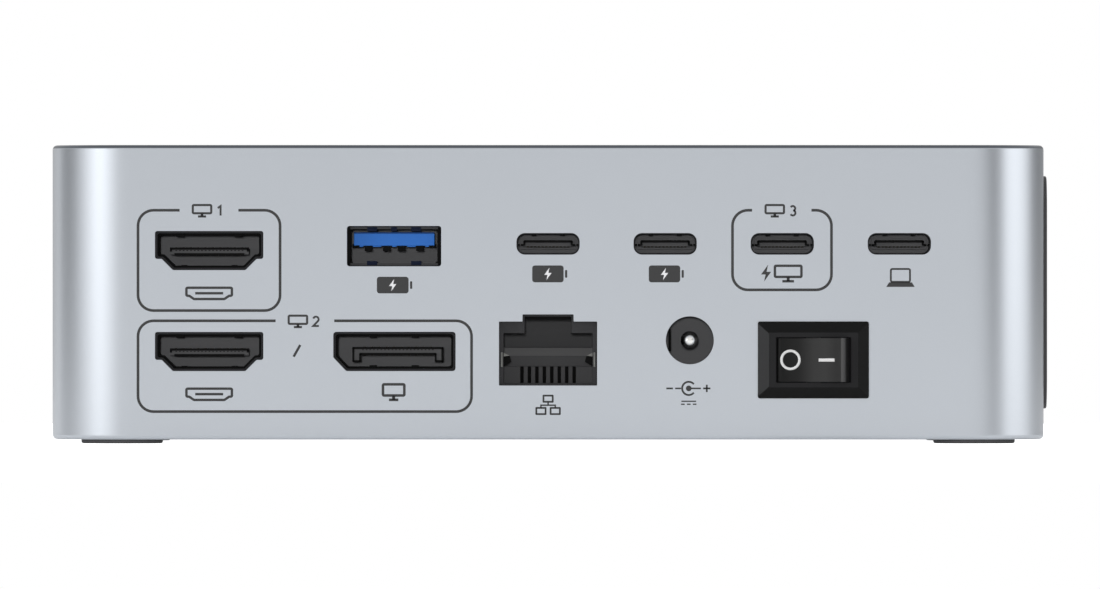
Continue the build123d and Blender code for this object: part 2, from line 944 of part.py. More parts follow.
def make_oval_sockets():
    """Shell and core of each oval socket: a thin tongue on a thicker root, and all contacts."""
    for name, face in oval_faces():
        make_shell(f"{name}_shell", face, oval_outline, oval_gauge, oval_depth, oval_width / 2, oval_rise)
        with BuildPart() as core:
            add(
                add_core_block(
                    face,
                    oval_outline,
                    oval_gauge,
                    oval_depth,
                    oval_cavity,
                    oval_width,
                    oval_rise,
                    oval_height / 2,
                )
            )
            with BuildSketch(face.offset(-tongue_setback)):
                Rectangle(oval_tongue_width, oval_tongue_thickness)
            extrude(amount=-(oval_cavity - tongue_setback))
            with BuildSketch(face.offset(oval_root_length - oval_cavity)):
                Rectangle(oval_root_width, oval_root_thickness)
            extrude(amount=-oval_root_length)
        save(core, f"{name}_core")
    places = spaced(oval_row_contacts, oval_contact_pitch)
    rows = (
        (places, contact_width, oval_tongue_thickness / 2, 1),
        (places, contact_width, -oval_tongue_thickness / 2, -1),
    )
    length = oval_cavity - oval_root_length - 2 * tongue_setback
    with BuildPart() as contacts:
        for name, face in oval_faces():
            add(contact_rows(face, 2 * tongue_setback, length, rows))
    save(contacts, "oval_contacts")


# ---- Network socket ----
def make_network_body():
    """Moulded block with the plug cavity, the latch channel above and the contact comb below."""
    inset = port_wall + socket_gap + network_shield_gauge
    face = rear_face(network_x, network_z, inset)
    top = network_height + network_body_top
    ledge = network_height - network_ledge
    mouth_width = network_width - 2 * network_lip_side
    channel_width = latch_width - 2 * network_lip_low
    channel_top = network_height + latch_height - network_lip_low
    depth = network_depth - network_shield_gauge
    comb = (comb_setback, comb_setback + comb_step, network_cavity)
    with BuildPart() as body:
        with BuildSketch(face):
            with Locations((0, (top - network_body_bottom) / 2)):
                Rectangle(network_body_width, top + network_body_bottom)
        extrude(amount=-depth)
        with BuildSketch(face):
            with Locations((0, (network_lip_low + ledge) / 2)):
                Rectangle(mouth_width, ledge - network_lip_low)
            with Locations((0, (ledge + channel_top) / 2)):
                Rectangle(channel_width, channel_top - ledge)
        extrude(amount=-network_cavity, mode=Mode.SUBTRACT)
        floor = network_z + network_lip_low
        first = floor + comb_height
        second = first + comb_step_height
        third = second + comb_slope_height
        front = inset - body_depth / 2
        with BuildSketch(Plane.YZ.offset(network_x - mouth_width / 2)):
            with BuildLine():
                Polyline(
                    (front + comb[0], floor),
                    (front + comb[0], first),
                    (front + comb[1], first),
                    (front + comb[1], second),
                    (front + comb[1] + comb_slope_height, third),
                    (front + comb[2], third),
                    (front + comb[2], floor),
                    close=True,
                )
            make_face()
        extrude(amount=mouth_width)
        with BuildSketch(face.offset(-comb_setback)):
            comb_z = network_lip_low + comb_height / 2
            with Locations(*[(x, comb_z) for x in spaced(wire_count, wire_pitch)]):
                Rectangle(wire_slot, comb_height)
        extrude(amount=comb_setback - network_cavity, mode=Mode.SUBTRACT)
    save(body, "network_socket_body")


def make_network_shield():
    """Tin plated can over the top, sides and back, with a clip at each side of the mouth."""
    face = rear_face(network_x, network_z, port_wall + socket_gap)
    inner_top = network_height + network_body_top + network_shield_gap
    inner_width = network_body_width + 2 * network_shield_gap
    outer_width = inner_width + 2 * network_shield_gauge
    outer_top = inner_top + network_shield_gauge
    clip_end = network_width / 2 - network_lip_side
    clip_width = outer_width / 2 - clip_end
    clip_z = network_clip_low + network_clip_height / 2
    with BuildPart() as shield:
        with BuildSketch(face):
            with Locations((0, (outer_top - network_body_bottom) / 2)):
                Rectangle(outer_width, outer_top + network_body_bottom)
        extrude(amount=-network_back)
        with BuildSketch(face):
            with Locations((0, (inner_top - network_body_bottom) / 2)):
                Rectangle(inner_width, inner_top + network_body_bottom)
        extrude(amount=-(network_back - network_shield_gauge), mode=Mode.SUBTRACT)
        with BuildSketch(face):
            with Locations(*[(side * (clip_end + clip_width / 2), clip_z) for side in (-1, 1)]):
                Rectangle(clip_width, network_clip_height)
        extrude(amount=-network_shield_gauge)
        flange_x = outer_width / 2 + network_flange / 2
        flange_z = network_drop + network_shield_gauge / 2
        with BuildSketch(face.offset(-network_back / 3)):
            with Locations((-flange_x, flange_z), (flange_x, flange_z)):
                Rectangle(network_flange, network_shield_gauge)
        extrude(amount=-network_back / 3)
    save(shield, "network_socket_shield")


def make_network_contacts():
    """Eight gold wires, one in each slot of the comb, rising towards the back."""
    front = port_wall + socket_gap + network_shield_gauge - body_depth / 2
    start = front + comb_setback + wire_thickness
    end = front + network_cavity
    low = network_z + network_lip_low + wire_thickness
    high = low + comb_height / 2
    with BuildPart() as contacts:
        for x in spaced(wire_count, wire_pitch):
            with BuildSketch(Plane.YZ.offset(network_x + x - wire_width / 2)):
                with BuildLine():
                    Polyline(
                        (start, low),
                        (end, high),
                        (end, high + wire_thickness),
                        (start, low + wire_thickness),
                        close=True,
                    )
                make_face()
            extrude(amount=wire_width)
    save(contacts, "network_contacts")


# ---- Power inlet ----
def leaf_place():
    """Distance of the leaf's middle from the axis of the inlet."""
    return inlet_bore / 2 - inlet_leaf_inset + inlet_leaf_thickness / 2


def make_power_inlet():
    """Barrel body, its centre pin, and the leaf contact at one side of the bore."""
    face = rear_face(inlet_x, inlet_z, port_wall + socket_gap)
    with BuildPart() as body:
        with BuildSketch(face):
            Rectangle(inlet_body_width, 2 * inlet_rise)
        extrude(amount=-inlet_body_depth)
        with BuildSketch(face):
            Circle(inlet_bore / 2)
        extrude(amount=-inlet_cavity, mode=Mode.SUBTRACT)
        with BuildSketch(face.offset(-inlet_cavity)):
            Circle(inlet_root_diameter / 2)
        extrude(amount=inlet_cavity - inlet_body_depth, mode=Mode.SUBTRACT)
        with BuildSketch(face.offset(-inlet_cavity)):
            with Locations((-leaf_place(), 0)):
                Rectangle(
                    inlet_leaf_thickness + 2 * inlet_leaf_slot_gap,
                    inlet_leaf_height + 2 * inlet_leaf_slot_gap,
                )
        extrude(amount=inlet_cavity - inlet_body_depth, mode=Mode.SUBTRACT)
    save(body, "power_inlet_body")
    with BuildPart() as pin:
        with BuildSketch(face.offset(-inlet_pin_setback)):
            Circle(inlet_pin_diameter / 2)
        extrude(amount=inlet_pin_setback - inlet_cavity)
        fillet(pin.edges().group_by(Axis.Y)[0], inlet_pin_dome)
        with BuildSketch(face.offset(-inlet_cavity)):
            Circle(inlet_root_diameter / 2)
        extrude(amount=inlet_cavity - inlet_body_depth)
    save(pin, "power_inlet_pin")
    with BuildPart() as leaf:
        with BuildSketch(face.offset(-inlet_leaf_setback)):
            with Locations((-leaf_place(), 0)):
                Rectangle(inlet_leaf_thickness, inlet_leaf_height)
        extrude(amount=inlet_leaf_setback - inlet_body_depth)
    save(leaf, "power_inlet_leaf")


# ---- Rocker switch ----
def make_switch_frame():
    """Snap-in frame: sloped bezel outside, body with a well for the rocker inside."""
    face = rear_face(switch_x, switch_z)
    top = bezel_flange + bezel_rise
    slope = math.degrees(math.atan(bezel_slope / bezel_rise))
    snap_x = switch_body_width / 2
    with BuildPart() as frame:
        with BuildSketch(face):
            RectangleRounded(bezel_width, bezel_height, bezel_corner)
        extrude(amount=bezel_flange)
        with BuildSketch(face.offset(bezel_flange)):
            RectangleRounded(bezel_width, bezel_height, bezel_corner)
        extrude(amount=bezel_rise, taper=slope)
        with BuildSketch(face):
            Rectangle(switch_body_width, switch_body_height)
        extrude(amount=-switch_body_depth)
        with BuildSketch(face.offset(top)):
            Rectangle(rocker_opening_width, rocker_opening_height)
        extrude(amount=-(top - rocker_pivot_proud + rocker_well), mode=Mode.SUBTRACT)
        with BuildSketch(Plane(origin=(switch_x, pivot_y, switch_z))):
            Circle(trunnion_diameter / 2 + trunnion_gap)
        extrude(
            amount=rocker_opening_height / 2 + trunnion_length + trunnion_gap,
            both=True,
            mode=Mode.SUBTRACT,
        )
        snap_y = port_wall + switch_panel_gap - body_depth / 2
        for side in (-1, 1):
            with BuildSketch(Plane.XY.offset(switch_z - snap_height / 2)):
                with BuildLine():
                    Polyline(
                        (switch_x + side * snap_x, snap_y),
                        (switch_x + side * (snap_x + snap_thickness), snap_y),
                        (switch_x + side * snap_x, snap_y + snap_length),
                        close=True,
                    )
                make_face()
            extrude(amount=snap_height)
    save(frame, "switch_frame")


def make_switch_rocker():
    """Paddle on two stub pins, resting with its off end pressed in."""
    lean = math.tan(math.radians(rocker_throw / 2))
    end = rocker_opening_width / 2 - rocker_end_gap
    crest = end - rocker_crown * lean
    height = rocker_opening_height - 2 * rocker_side_gap
    rest = Plane(origin=(switch_x, pivot_y, switch_z)).rotated((0, 0, -rocker_throw / 2))
    with BuildPart() as rocker:
        with BuildSketch(rest):
            with BuildLine():
                ThreePointArc((-crest, -rocker_crown), (0, -rocker_middle), (crest, -rocker_crown))
                Polyline(
                    (crest, -rocker_crown),
                    (end, 0),
                    (rocker_keel_width / 2, rocker_keel),
                    (-rocker_keel_width / 2, rocker_keel),
                    (-end, 0),
                    (-crest, -rocker_crown),
                )
            make_face()
        extrude(amount=height / 2, both=True)
        crests = rocker.edges().filter_by(Axis.Z).sort_by(Axis.Y)
        fillet(crests[0:1] + edges_near(crests, -crest), rocker_edge_radius)
        with BuildSketch(rest):
            Circle(trunnion_diameter / 2)
        extrude(amount=rocker_opening_height / 2 + trunnion_length, both=True)
    save(rocker, "switch_rocker")


def edges_near(edges, x):
    """The edge of the off end's crest: the one furthest to the left and furthest out."""
    left = edges.sort_by(Axis.X)[0:2]
    return left.sort_by(Axis.Y)[0:1]


def lead_points(side):
    """Route of one lead: straight off its blade, inwards to the header's pitch, straight in."""
    start_y = -body_depth / 2 + switch_body_depth + terminal_length
    blade_x = switch_x + side * terminal_spacing / 2
    header_x = switch_x + side * lead_pitch / 2
    return (
        (blade_x, start_y, switch_z),
        (blade_x, start_y + lead_first_run, switch_z),
        (header_x, start_y + lead_first_run + lead_middle_run, switch_z),
        (header_x, start_y + lead_first_run + lead_middle_run + lead_last_run, switch_z),
    )


def lead_radius():
    """Bend radius of a lead: as large as its shorter run allows at that turn."""
    jog = (terminal_spacing - lead_pitch) / 2
    turn = math.atan(jog / lead_middle_run)
    return 0.45 * min(lead_first_run, lead_last_run) / math.tan(turn / 2)


def make_switch_wiring():
    """Two blade terminals, the leads soldered to them, and the header on the main board."""
    face = rear_face(switch_x, switch_z, switch_body_depth)
    with BuildPart() as terminals:
        with BuildSketch(face):
            with Locations((-terminal_spacing / 2, 0), (terminal_spacing / 2, 0)):
                Rectangle(terminal_thickness, terminal_height)
        extrude(amount=-terminal_length)
    save(terminals, "switch_terminals")
    with BuildPart() as leads:
        for side in (-1, 1):
            points = lead_points(side)
            with BuildLine() as route:
                FilletPolyline(*points, radius=lead_radius())
            with BuildSketch(Plane(origin=points[0], z_dir=(0, 1, 0))):
                Circle(lead_diameter / 2)
            sweep(path=route.wires()[0])
    save(leads, "switch_leads")
    print("lead bend radius", round(lead_radius(), 2))
    end_y = lead_points(1)[3][1]
    header_top = switch_z + lead_diameter / 2 + lead_header_wall
    with BuildPart() as header:
        with Locations((switch_x, end_y + lead_header_depth / 2, (header_top + main_board_top) / 2)):
            Box(lead_header_width, lead_header_depth, header_top - main_board_top)
    save(header, "switch_header")


# ---- Audio socket ----
def make_audio_socket():
    """Moulded body with a round nose in the panel, and three leaf contacts along its bore."""
    face = front_face(audio_x, port_board_top + audio_rise, port_wall + socket_gap)
    nose = port_wall + socket_gap - audio_nose_setback
    leaf_z = audio_bore / 2 + audio_contact_gap + audio_contact_thickness / 2
    with BuildPart() as body:
        with BuildSketch(face):
            with Locations((0, audio_body_height / 2 - audio_rise)):
                Rectangle(audio_body_width, audio_body_height)
        extrude(amount=-audio_depth)
        with BuildSketch(face):
            Circle(audio_nose_diameter / 2)
        extrude(amount=nose)
        with BuildSketch(face.offset(nose)):
            Circle(audio_bore / 2)
        extrude(amount=-(nose + audio_depth), mode=Mode.SUBTRACT)
        for place in audio_contact_places:
            with BuildSketch(face.offset(-place)):
                with Locations((0, leaf_z)):
                    Rectangle(audio_slot_width, 2 * audio_slot_reach)
            extrude(amount=-audio_contact_length, mode=Mode.SUBTRACT)
    save(body, "audio_socket_body")
    with BuildPart() as contacts:
        for place in audio_contact_places:
            with BuildSketch(face.offset(-place)):
                with Locations((0, leaf_z)):
                    Rectangle(audio_contact_width, audio_contact_thickness)
            extrude(amount=-audio_contact_length)
    save(contacts, "audio_contacts")


os.makedirs("parts", exist_ok=True)
make_housing()
make_base_plate()
make_base_screws()
make_feet()
make_side_pad()
make_status_lens()
make_boards()
make_standoffs()
make_board_screws()
make_links()
make_chips()
make_heat_spreader()
make_power_parts()
make_network_transformer()
make_video_socket("video_socket_upper", port_board_top)
make_video_socket("video_socket_lower", main_board_top)
make_video_contacts()
make_display_socket()
make_display_contacts()
make_data_sockets()
make_oval_sockets()
make_network_body()
make_network_shield()
make_network_contacts()
make_power_inlet()
make_switch_frame()
make_switch_rocker()
make_switch_wiring()
make_audio_socket()
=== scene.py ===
import math

import bmesh
import bpy
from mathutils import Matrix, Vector
from mathutils.bvhtree import BVHTree


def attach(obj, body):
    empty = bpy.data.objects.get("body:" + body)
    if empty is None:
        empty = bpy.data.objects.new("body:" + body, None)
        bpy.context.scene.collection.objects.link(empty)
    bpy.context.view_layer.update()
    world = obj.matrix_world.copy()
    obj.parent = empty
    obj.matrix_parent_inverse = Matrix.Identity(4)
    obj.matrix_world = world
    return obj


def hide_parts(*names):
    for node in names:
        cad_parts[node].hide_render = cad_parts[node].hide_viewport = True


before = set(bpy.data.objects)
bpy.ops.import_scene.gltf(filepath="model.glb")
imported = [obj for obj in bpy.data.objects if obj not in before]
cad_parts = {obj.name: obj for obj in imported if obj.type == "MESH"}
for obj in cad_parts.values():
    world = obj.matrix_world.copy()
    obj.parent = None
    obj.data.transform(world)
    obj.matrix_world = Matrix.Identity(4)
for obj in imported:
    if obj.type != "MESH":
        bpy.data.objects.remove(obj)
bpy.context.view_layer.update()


# ---- Housing ----
# One closed aluminium body with large vertical corners, machined sockets in its two
# long sides, bead-blasted and clear anodised. The boards hang from posts inside it.
MM = 0.001
BODY_WIDTH = 135.0
BODY_DEPTH = 85.0
FLOOR_Z = 0.55
ROOF_Z = 40.55
CORNER = 11.0
EDGE = 0.6
RIM_WALL = 0.9
SIDE_WALL = 2.0
PORT_WALL = 1.4
PLATE_TOP = 2.55
CEILING_Z = 38.55
PORT_BOARD_TOP = 23.2
MAIN_BOARD_TOP = 9.49
POST_PLACES = ((-58.0, -33.0), (58.0, -33.0), (-58.0, 33.0), (58.0, 33.0))
BOARD_POST_PLACES = ((-59.5, -19.0), (59.5, -19.0), (-59.5, 22.0), (59.5, 22.0))


def grain_group():
    """Fine grain for the bump, with a slow drift in tone and in gloss."""
    group = bpy.data.node_groups.new("fine_grain", "ShaderNodeTree")
    face = group.interface
    for name, kind, value in (
        ("Vector", "NodeSocketVector", None),
        ("Tone", "NodeSocketColor", (0.5, 0.5, 0.5, 1.0)),
        ("Gloss", "NodeSocketFloat", 0.4),
        ("Grain scale", "NodeSocketFloat", 4000.0),
        ("Drift scale", "NodeSocketFloat", 60.0),
        ("Drift", "NodeSocketFloat", 0.05),
        ("Speckle", "NodeSocketFloat", 0.04),
    ):
        socket = face.new_socket(name, in_out="INPUT", socket_type=kind)
        if value is not None:
            socket.default_value = value
    face.new_socket("Colour", in_out="OUTPUT", socket_type="NodeSocketColor")
    face.new_socket("Roughness", in_out="OUTPUT", socket_type="NodeSocketFloat")
    face.new_socket("Height", in_out="OUTPUT", socket_type="NodeSocketFloat")
    nodes, links = group.nodes, group.links
    given = nodes.new("NodeGroupInput")
    result = nodes.new("NodeGroupOutput")
    grain = nodes.new("ShaderNodeTexNoise")
    grain.inputs["Detail"].default_value = 3.0
    drift = nodes.new("ShaderNodeTexNoise")
    drift.inputs["Detail"].default_value = 4.0
    links.new(given.outputs["Vector"], grain.inputs["Vector"])
    links.new(given.outputs["Vector"], drift.inputs["Vector"])
    links.new(given.outputs["Grain scale"], grain.inputs["Scale"])
    links.new(given.outputs["Drift scale"], drift.inputs["Scale"])

    def maths(operation, a, b):
        node = nodes.new("ShaderNodeMath")
        node.operation = operation
        for index, value in enumerate((a, b)):
            if isinstance(value, float):
                node.inputs[index].default_value = value
            else:
                links.new(value, node.inputs[index])
        return node.outputs[0]

    slow = maths("MULTIPLY", maths("SUBTRACT", drift.outputs["Fac"], 0.5), given.outputs["Drift"])
    fast = maths("MULTIPLY", maths("SUBTRACT", grain.outputs["Fac"], 0.5), given.outputs["Speckle"])
    level = maths("ADD", maths("ADD", slow, fast), 1.0)
    shade = nodes.new("ShaderNodeVectorMath")
    shade.operation = "SCALE"
    links.new(given.outputs["Tone"], shade.inputs[0])
    links.new(level, shade.inputs["Scale"])
    links.new(shade.outputs[0], result.inputs["Colour"])
    gloss = maths("MULTIPLY", given.outputs["Gloss"], maths("ADD", maths("MULTIPLY", slow, 2.0), 1.0))
    links.new(gloss, result.inputs["Roughness"])
    links.new(grain.outputs["Fac"], result.inputs["Height"])
    return group


FINE_GRAIN = grain_group()


def finish(name, tone, gloss, metallic=0.0, grain=4000.0, bump=0.05, drift=0.05, speckle=0.04, **sockets):
    """A surface of one substance: its tone and gloss drift slightly, and its grain is in the bump."""
    material = bpy.data.materials.new(name)
    material.use_nodes = True
    nodes, links = material.node_tree.nodes, material.node_tree.links
    surface = nodes["Principled BSDF"]
    place = nodes.new("ShaderNodeTexCoord")
    group = nodes.new("ShaderNodeGroup")
    group.node_tree = FINE_GRAIN
    group.inputs["Tone"].default_value = (*tone, 1.0)
    group.inputs["Gloss"].default_value = gloss
    group.inputs["Grain scale"].default_value = grain
    group.inputs["Drift"].default_value = drift
    group.inputs["Speckle"].default_value = speckle
    bumps = nodes.new("ShaderNodeBump")
    bumps.inputs["Strength"].default_value = bump
    bumps.inputs["Distance"].default_value = 0.00002
    links.new(place.outputs["Object"], group.inputs["Vector"])
    links.new(group.outputs["Colour"], surface.inputs["Base Color"])
    links.new(group.outputs["Roughness"], surface.inputs["Roughness"])
    links.new(group.outputs["Height"], bumps.inputs["Height"])
    links.new(bumps.outputs["Normal"], surface.inputs["Normal"])
    surface.inputs["Metallic"].default_value = metallic
    for socket, value in sockets.items():
        surface.inputs[socket.replace("_", " ")].default_value = value
    return material


def dull(name, tone, mirror=0.3, gloss=0.5, grain=2200.0, bump=0.15, drift=0.05, speckle=0.05):
    """A plastic, rubber or ink that mirrors little of what is round it."""
    return finish(name, tone, gloss, 0.0, grain, bump, drift, speckle, Specular_IOR_Level=mirror)


# A darker copy of the anodised finish: painted shade for the rounding of the top edge.
TOP_EDGE_SHADE_PAINT = finish("anodised_painted_shade_edge", (0.17, 0.185, 0.21), 0.3, 1.0, 5200.0, 0.10, 0.02, 0.04)
ANODISED = finish("anodised_housing", (0.62, 0.656, 0.704), 0.28, 1.0, 5200.0, 0.10, 0.02, 0.04)


def scaled(nodes, low, high):
    """A node that turns values from low to high into 0 to 1."""
    node = nodes.new("ShaderNodeMapRange")
    node.inputs["From Min"].default_value = low
    node.inputs["From Max"].default_value = high
    return node


def tone_ramp(nodes, stops):
    """A colour ramp of greys; each stop is a place and its level, both from 0 to 1."""
    ramp = nodes.new("ShaderNodeValToRGB")
    elements = ramp.color_ramp.elements
    while len(elements) < len(stops):
        elements.new(0.5)
    for element, (place, level) in zip(elements, stops):
        element.position = place
        element.color = (level, level, level, 1.0)
    return ramp


def placed(name, data):
    """A new object, in the scene."""
    thing = bpy.data.objects.new(name, data)
    bpy.context.collection.objects.link(thing)
    return thing


def new_piece(name, build, material, bevel=0.0, segments=2, angle=30.0):
    """A named mesh piece from a bmesh, in millimetres, with its sharp edges eased by bevel."""
    bmesh.ops.scale(build, vec=(MM, MM, MM), verts=build.verts)
    bmesh.ops.remove_doubles(build, verts=build.verts, dist=1e-7)
    bmesh.ops.recalc_face_normals(build, faces=build.faces)
    mesh = bpy.data.meshes.new(name)
    build.to_mesh(mesh)
    build.free()
    piece = placed(name, mesh)
    mesh.materials.append(material)
    ease(piece, bevel, segments, angle)
    return piece


def ease(piece, bevel, segments=2, angle=30.0):
    """Rounds a piece's sharp edges by bevel millimetres and sets its shading."""
    piece.data.shade_smooth()
    if bevel:
        rounding = piece.modifiers.new("eased_edges", "BEVEL")
        rounding.width = bevel * MM
        rounding.segments = segments
        rounding.limit_method = "ANGLE"
        rounding.angle_limit = math.radians(angle)
        rounding.miter_outer = "MITER_ARC"
        flats = piece.modifiers.new("flat_faces_stay_flat", "WEIGHTED_NORMAL")
        flats.weight = 100
        bake(piece)
    else:
        piece.data.set_sharp_from_angle(angle=math.radians(angle))


def bake(piece):
    """Puts a piece's modifiers into its mesh."""
    bpy.context.view_layer.update()
    evaluated = piece.evaluated_get(bpy.context.evaluated_depsgraph_get())
    mesh = bpy.data.meshes.new_from_object(evaluated)
    piece.modifiers.clear()
    piece.data = mesh


def cut(piece, build):
    """Takes the solids in build, in millimetres, out of a piece."""
    cutter = new_piece("cutter", build, piece.data.materials[0])
    cutting = piece.modifiers.new("cut", "BOOLEAN")
    cutting.operation = "DIFFERENCE"
    cutting.solver = "EXACT"
    cutting.object = cutter
    bake(piece)
    bpy.data.objects.remove(cutter)


def settle(piece, slot, *nodes, body="dock"):
    """The piece rides on its body and stands for the CAD pieces named; slot is not used."""
    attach(piece, body)
    if nodes:
        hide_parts(*nodes)


def repaint(piece, material, chosen):
    """Gives the faces whose middle, in millimetres, is chosen a second finish."""
    piece.data.materials.append(material)
    last = len(piece.data.materials) - 1
    for face in piece.data.polygons:
        if chosen(face.center / MM):
            face.material_index = last


def rounded(points, radius, steps=4):
    """A closed outline with each corner of points turned into an arc."""
    outline = []
    count = len(points)
    for index, point in enumerate(points):
        here = Vector(point)
        before = (Vector(points[index - 1]) - here).normalized()
        after = (Vector(points[(index + 1) % count]) - here).normalized()
        half = before.angle(after) / 2
        reach = radius / math.tan(half)
        centre = here + (before + after).normalized() * radius / math.sin(half)
        start = here + before * reach - centre
        turn = start.angle_signed(here + after * reach - centre)
        for step in range(steps + 1):
            a = -turn * step / steps
            outline.append(
                (
                    centre.x + start.x * math.cos(a) - start.y * math.sin(a),
                    centre.y + start.x * math.sin(a) + start.y * math.cos(a),
                )
            )
    return outline


def grown(points, amount):
    """A closed outline moved outwards by amount, its corners kept sharp. Points run clockwise."""
    result = []
    count = len(points)
    for index, point in enumerate(points):
        here = Vector(point)
        before = (here - Vector(points[index - 1])).normalized()
        after = (Vector(points[(index + 1) % count]) - here).normalized()
        normal_before = Vector((-before.y, before.x))
        normal_after = Vector((-after.y, after.x))
        bisector = (normal_before + normal_after).normalized()
        shift = amount / bisector.dot(normal_before)
        result.append((here.x + bisector.x * shift, here.y + bisector.y * shift))
    return result


def box_outline(width, height, radius, steps=4):
    """A rounded rectangle about its middle, clockwise from its top left."""
    x, z = width / 2, height / 2
    return rounded([(-x, z), (x, z), (x, -z), (-x, -z)], radius, steps)


def circle_outline(diameter, steps=32):
    """A circle as a clockwise outline."""
    return [
        (diameter / 2 * math.sin(a), diameter / 2 * math.cos(a))
        for a in (2 * math.pi * step / steps for step in range(steps))
    ]


def rear(x, z):
    """Place on the rear panel: right, up and inwards from a socket's centre."""
    return lambda u, v, depth: (x + u, depth - BODY_DEPTH / 2, z + v)


def front(x, z):
    """Place on the front panel: right, up and inwards from a socket's centre."""
    return lambda u, v, depth: (x - u, BODY_DEPTH / 2 - depth, z + v)


def prism(build, place, outline, start, end):
    """A solid of one outline between two depths."""
    near = [build.verts.new(place(u, v, start)) for u, v in outline]
    far = [build.verts.new(place(u, v, end)) for u, v in outline]
    build.faces.new(near)
    build.faces.new(far[::-1])
    sides(build, near, far)


def sides(build, near, far):
    """The walls between two closed loops of as many points."""
    count = len(near)
    for index in range(count):
        after = (index + 1) % count
        build.faces.new((near[index], near[after], far[after], far[index]))


def stack(build, loops):
    """The walls through a row of closed loops, with the first and last loops filled."""
    for near, far in zip(loops, loops[1:]):
        sides(build, near, far)
    build.faces.new(loops[0])
    build.faces.new(loops[-1][::-1])


def sleeve(build, place, outer, inner, start, end):
    """A tube between two outlines of as many points, open through its middle."""
    loops = [
        [build.verts.new(place(u, v, depth)) for u, v in outline]
        for outline, depth in ((outer, start), (inner, start), (inner, end), (outer, end))
    ]
    for index in range(4):
        sides(build, loops[index], loops[(index + 1) % 4])


def plan_ring(build, inset_x, inset_y, radius, z, steps=20):
    """One level ring of the body's plan outline."""
    outline = box_outline(BODY_WIDTH - 2 * inset_x, BODY_DEPTH - 2 * inset_y, radius, steps)
    return [build.verts.new((x, y, z)) for x, y in outline]


def housing_shell():
    """The closed body, from the rim of its underside over the top, and its hollow inside."""
    build = bmesh.new()
    rings = [plan_ring(build, RIM_WALL, RIM_WALL, CORNER - RIM_WALL, FLOOR_Z)]
    turns = [math.radians(18 * step) for step in range(6)]
    for a in turns:
        inset = EDGE * (1 - math.sin(a))
        rings.append(plan_ring(build, inset, inset, CORNER - inset, FLOOR_Z + EDGE * (1 - math.cos(a))))
    for a in turns:
        inset = EDGE * (1 - math.cos(a))
        rings.append(plan_ring(build, inset, inset, CORNER - inset, ROOF_Z - EDGE * (1 - math.sin(a))))
    for near, far in zip(rings, rings[1:]):
        sides(build, near, far)
    build.faces.new(rings[-1])
    inner = [
        rings[0],
        plan_ring(build, RIM_WALL, RIM_WALL, CORNER - RIM_WALL, PLATE_TOP),
        plan_ring(build, SIDE_WALL, PORT_WALL, CORNER - SIDE_WALL, PLATE_TOP),
        plan_ring(build, SIDE_WALL, PORT_WALL, CORNER - SIDE_WALL, CEILING_Z),
    ]
    for near, far in zip(inner, inner[1:]):
        sides(build, near, far)
    build.faces.new(inner[-1])
    return build


VIDEO_X = -46.02
VIDEO_UPPER_Z = PORT_BOARD_TOP + 3.02
VIDEO_LOWER_Z = MAIN_BOARD_TOP + 3.02
DISPLAY_X = -20.86
DISPLAY_Z = MAIN_BOARD_TOP + 3.03
DATA_X = -20.91
FRONT_DATA_X = -24.0
DATA_Z = PORT_BOARD_TOP + 3.62
OVAL_X = (0.0, 15.9, 31.8, 47.7)
OVAL_Z = PORT_BOARD_TOP + 3.93
NETWORK_Z = MAIN_BOARD_TOP - 1.59
INLET_X = 19.25
INLET_Z = MAIN_BOARD_TOP + 4.54
SWITCH_X = 36.02
SWITCH_Z = FLOOR_Z + 10.81
AUDIO_X = 24.0
AUDIO_Z = PORT_BOARD_TOP + 2.9
MIDDLE_Z = FLOOR_Z + 20.0

VIDEO_POINTS = [
    (-7.35, 2.64), (7.35, 2.64), (7.35, -1.12), (6.44, -1.12),
    (4.92, -2.64), (-4.92, -2.64), (-6.44, -1.12), (-7.35, -1.12),
]
DISPLAY_POINTS = [(-8.295, 2.65), (8.295, 2.65), (8.295, -2.65), (-6.545, -2.65), (-8.295, -0.8)]
NETWORK_POINTS = [
    (-3.46, 9.64), (3.46, 9.64), (3.46, 8.67), (6.66, 8.67),
    (6.66, 0.0), (-6.66, 0.0), (-6.66, 8.67), (-3.46, 8.67),
]


def video_mouth(grow=0.0):
    """The wide mouth with a shoulder at each side of its floor."""
    return rounded(grown(VIDEO_POINTS, grow), 0.3)


def display_mouth(grow=0.0):
    """The wide mouth with one cut corner."""
    return rounded(grown(DISPLAY_POINTS, grow), 0.4)


def data_mouth(grow=0.0):
    """The flat mouth with nearly square corners."""
    return box_outline(12.79 + 2 * grow, 5.46 + 2 * grow, 0.35)


def oval_mouth(grow=0.0):
    """The small flat oval mouth."""
    return box_outline(8.57 + 2 * grow, 2.9 + 2 * grow, 1.15 + grow, 8)


def network_mouth(grow=0.0):
    """The square mouth with the latch notch above."""
    return rounded(grown(NETWORK_POINTS, grow), 0.08, 2)


REAR_MOUTHS = [
    (VIDEO_X, VIDEO_UPPER_Z, video_mouth()),
    (VIDEO_X, VIDEO_LOWER_Z, video_mouth()),
    (DISPLAY_X, DISPLAY_Z, display_mouth()),
    (DATA_X, DATA_Z, data_mouth()),
    (0.0, NETWORK_Z, network_mouth()),
    (INLET_X, INLET_Z, circle_outline(6.5, 48)),
    (SWITCH_X, SWITCH_Z, box_outline(13.4, 9.0, 0.2)),
] + [(x, OVAL_Z, oval_mouth()) for x in OVAL_X]
FRONT_MOUTHS = [
    (FRONT_DATA_X, DATA_Z, data_mouth()),
    (0.0, OVAL_Z, oval_mouth()),
    (AUDIO_X, AUDIO_Z, circle_outline(6.2, 48)),
]
cutters = bmesh.new()
for x, z, outline in REAR_MOUTHS:
    prism(cutters, rear(x, z), outline, -1.0, PORT_WALL + 0.8)
for x, z, outline in FRONT_MOUTHS:
    prism(cutters, front(x, z), outline, -1.0, PORT_WALL + 0.8)
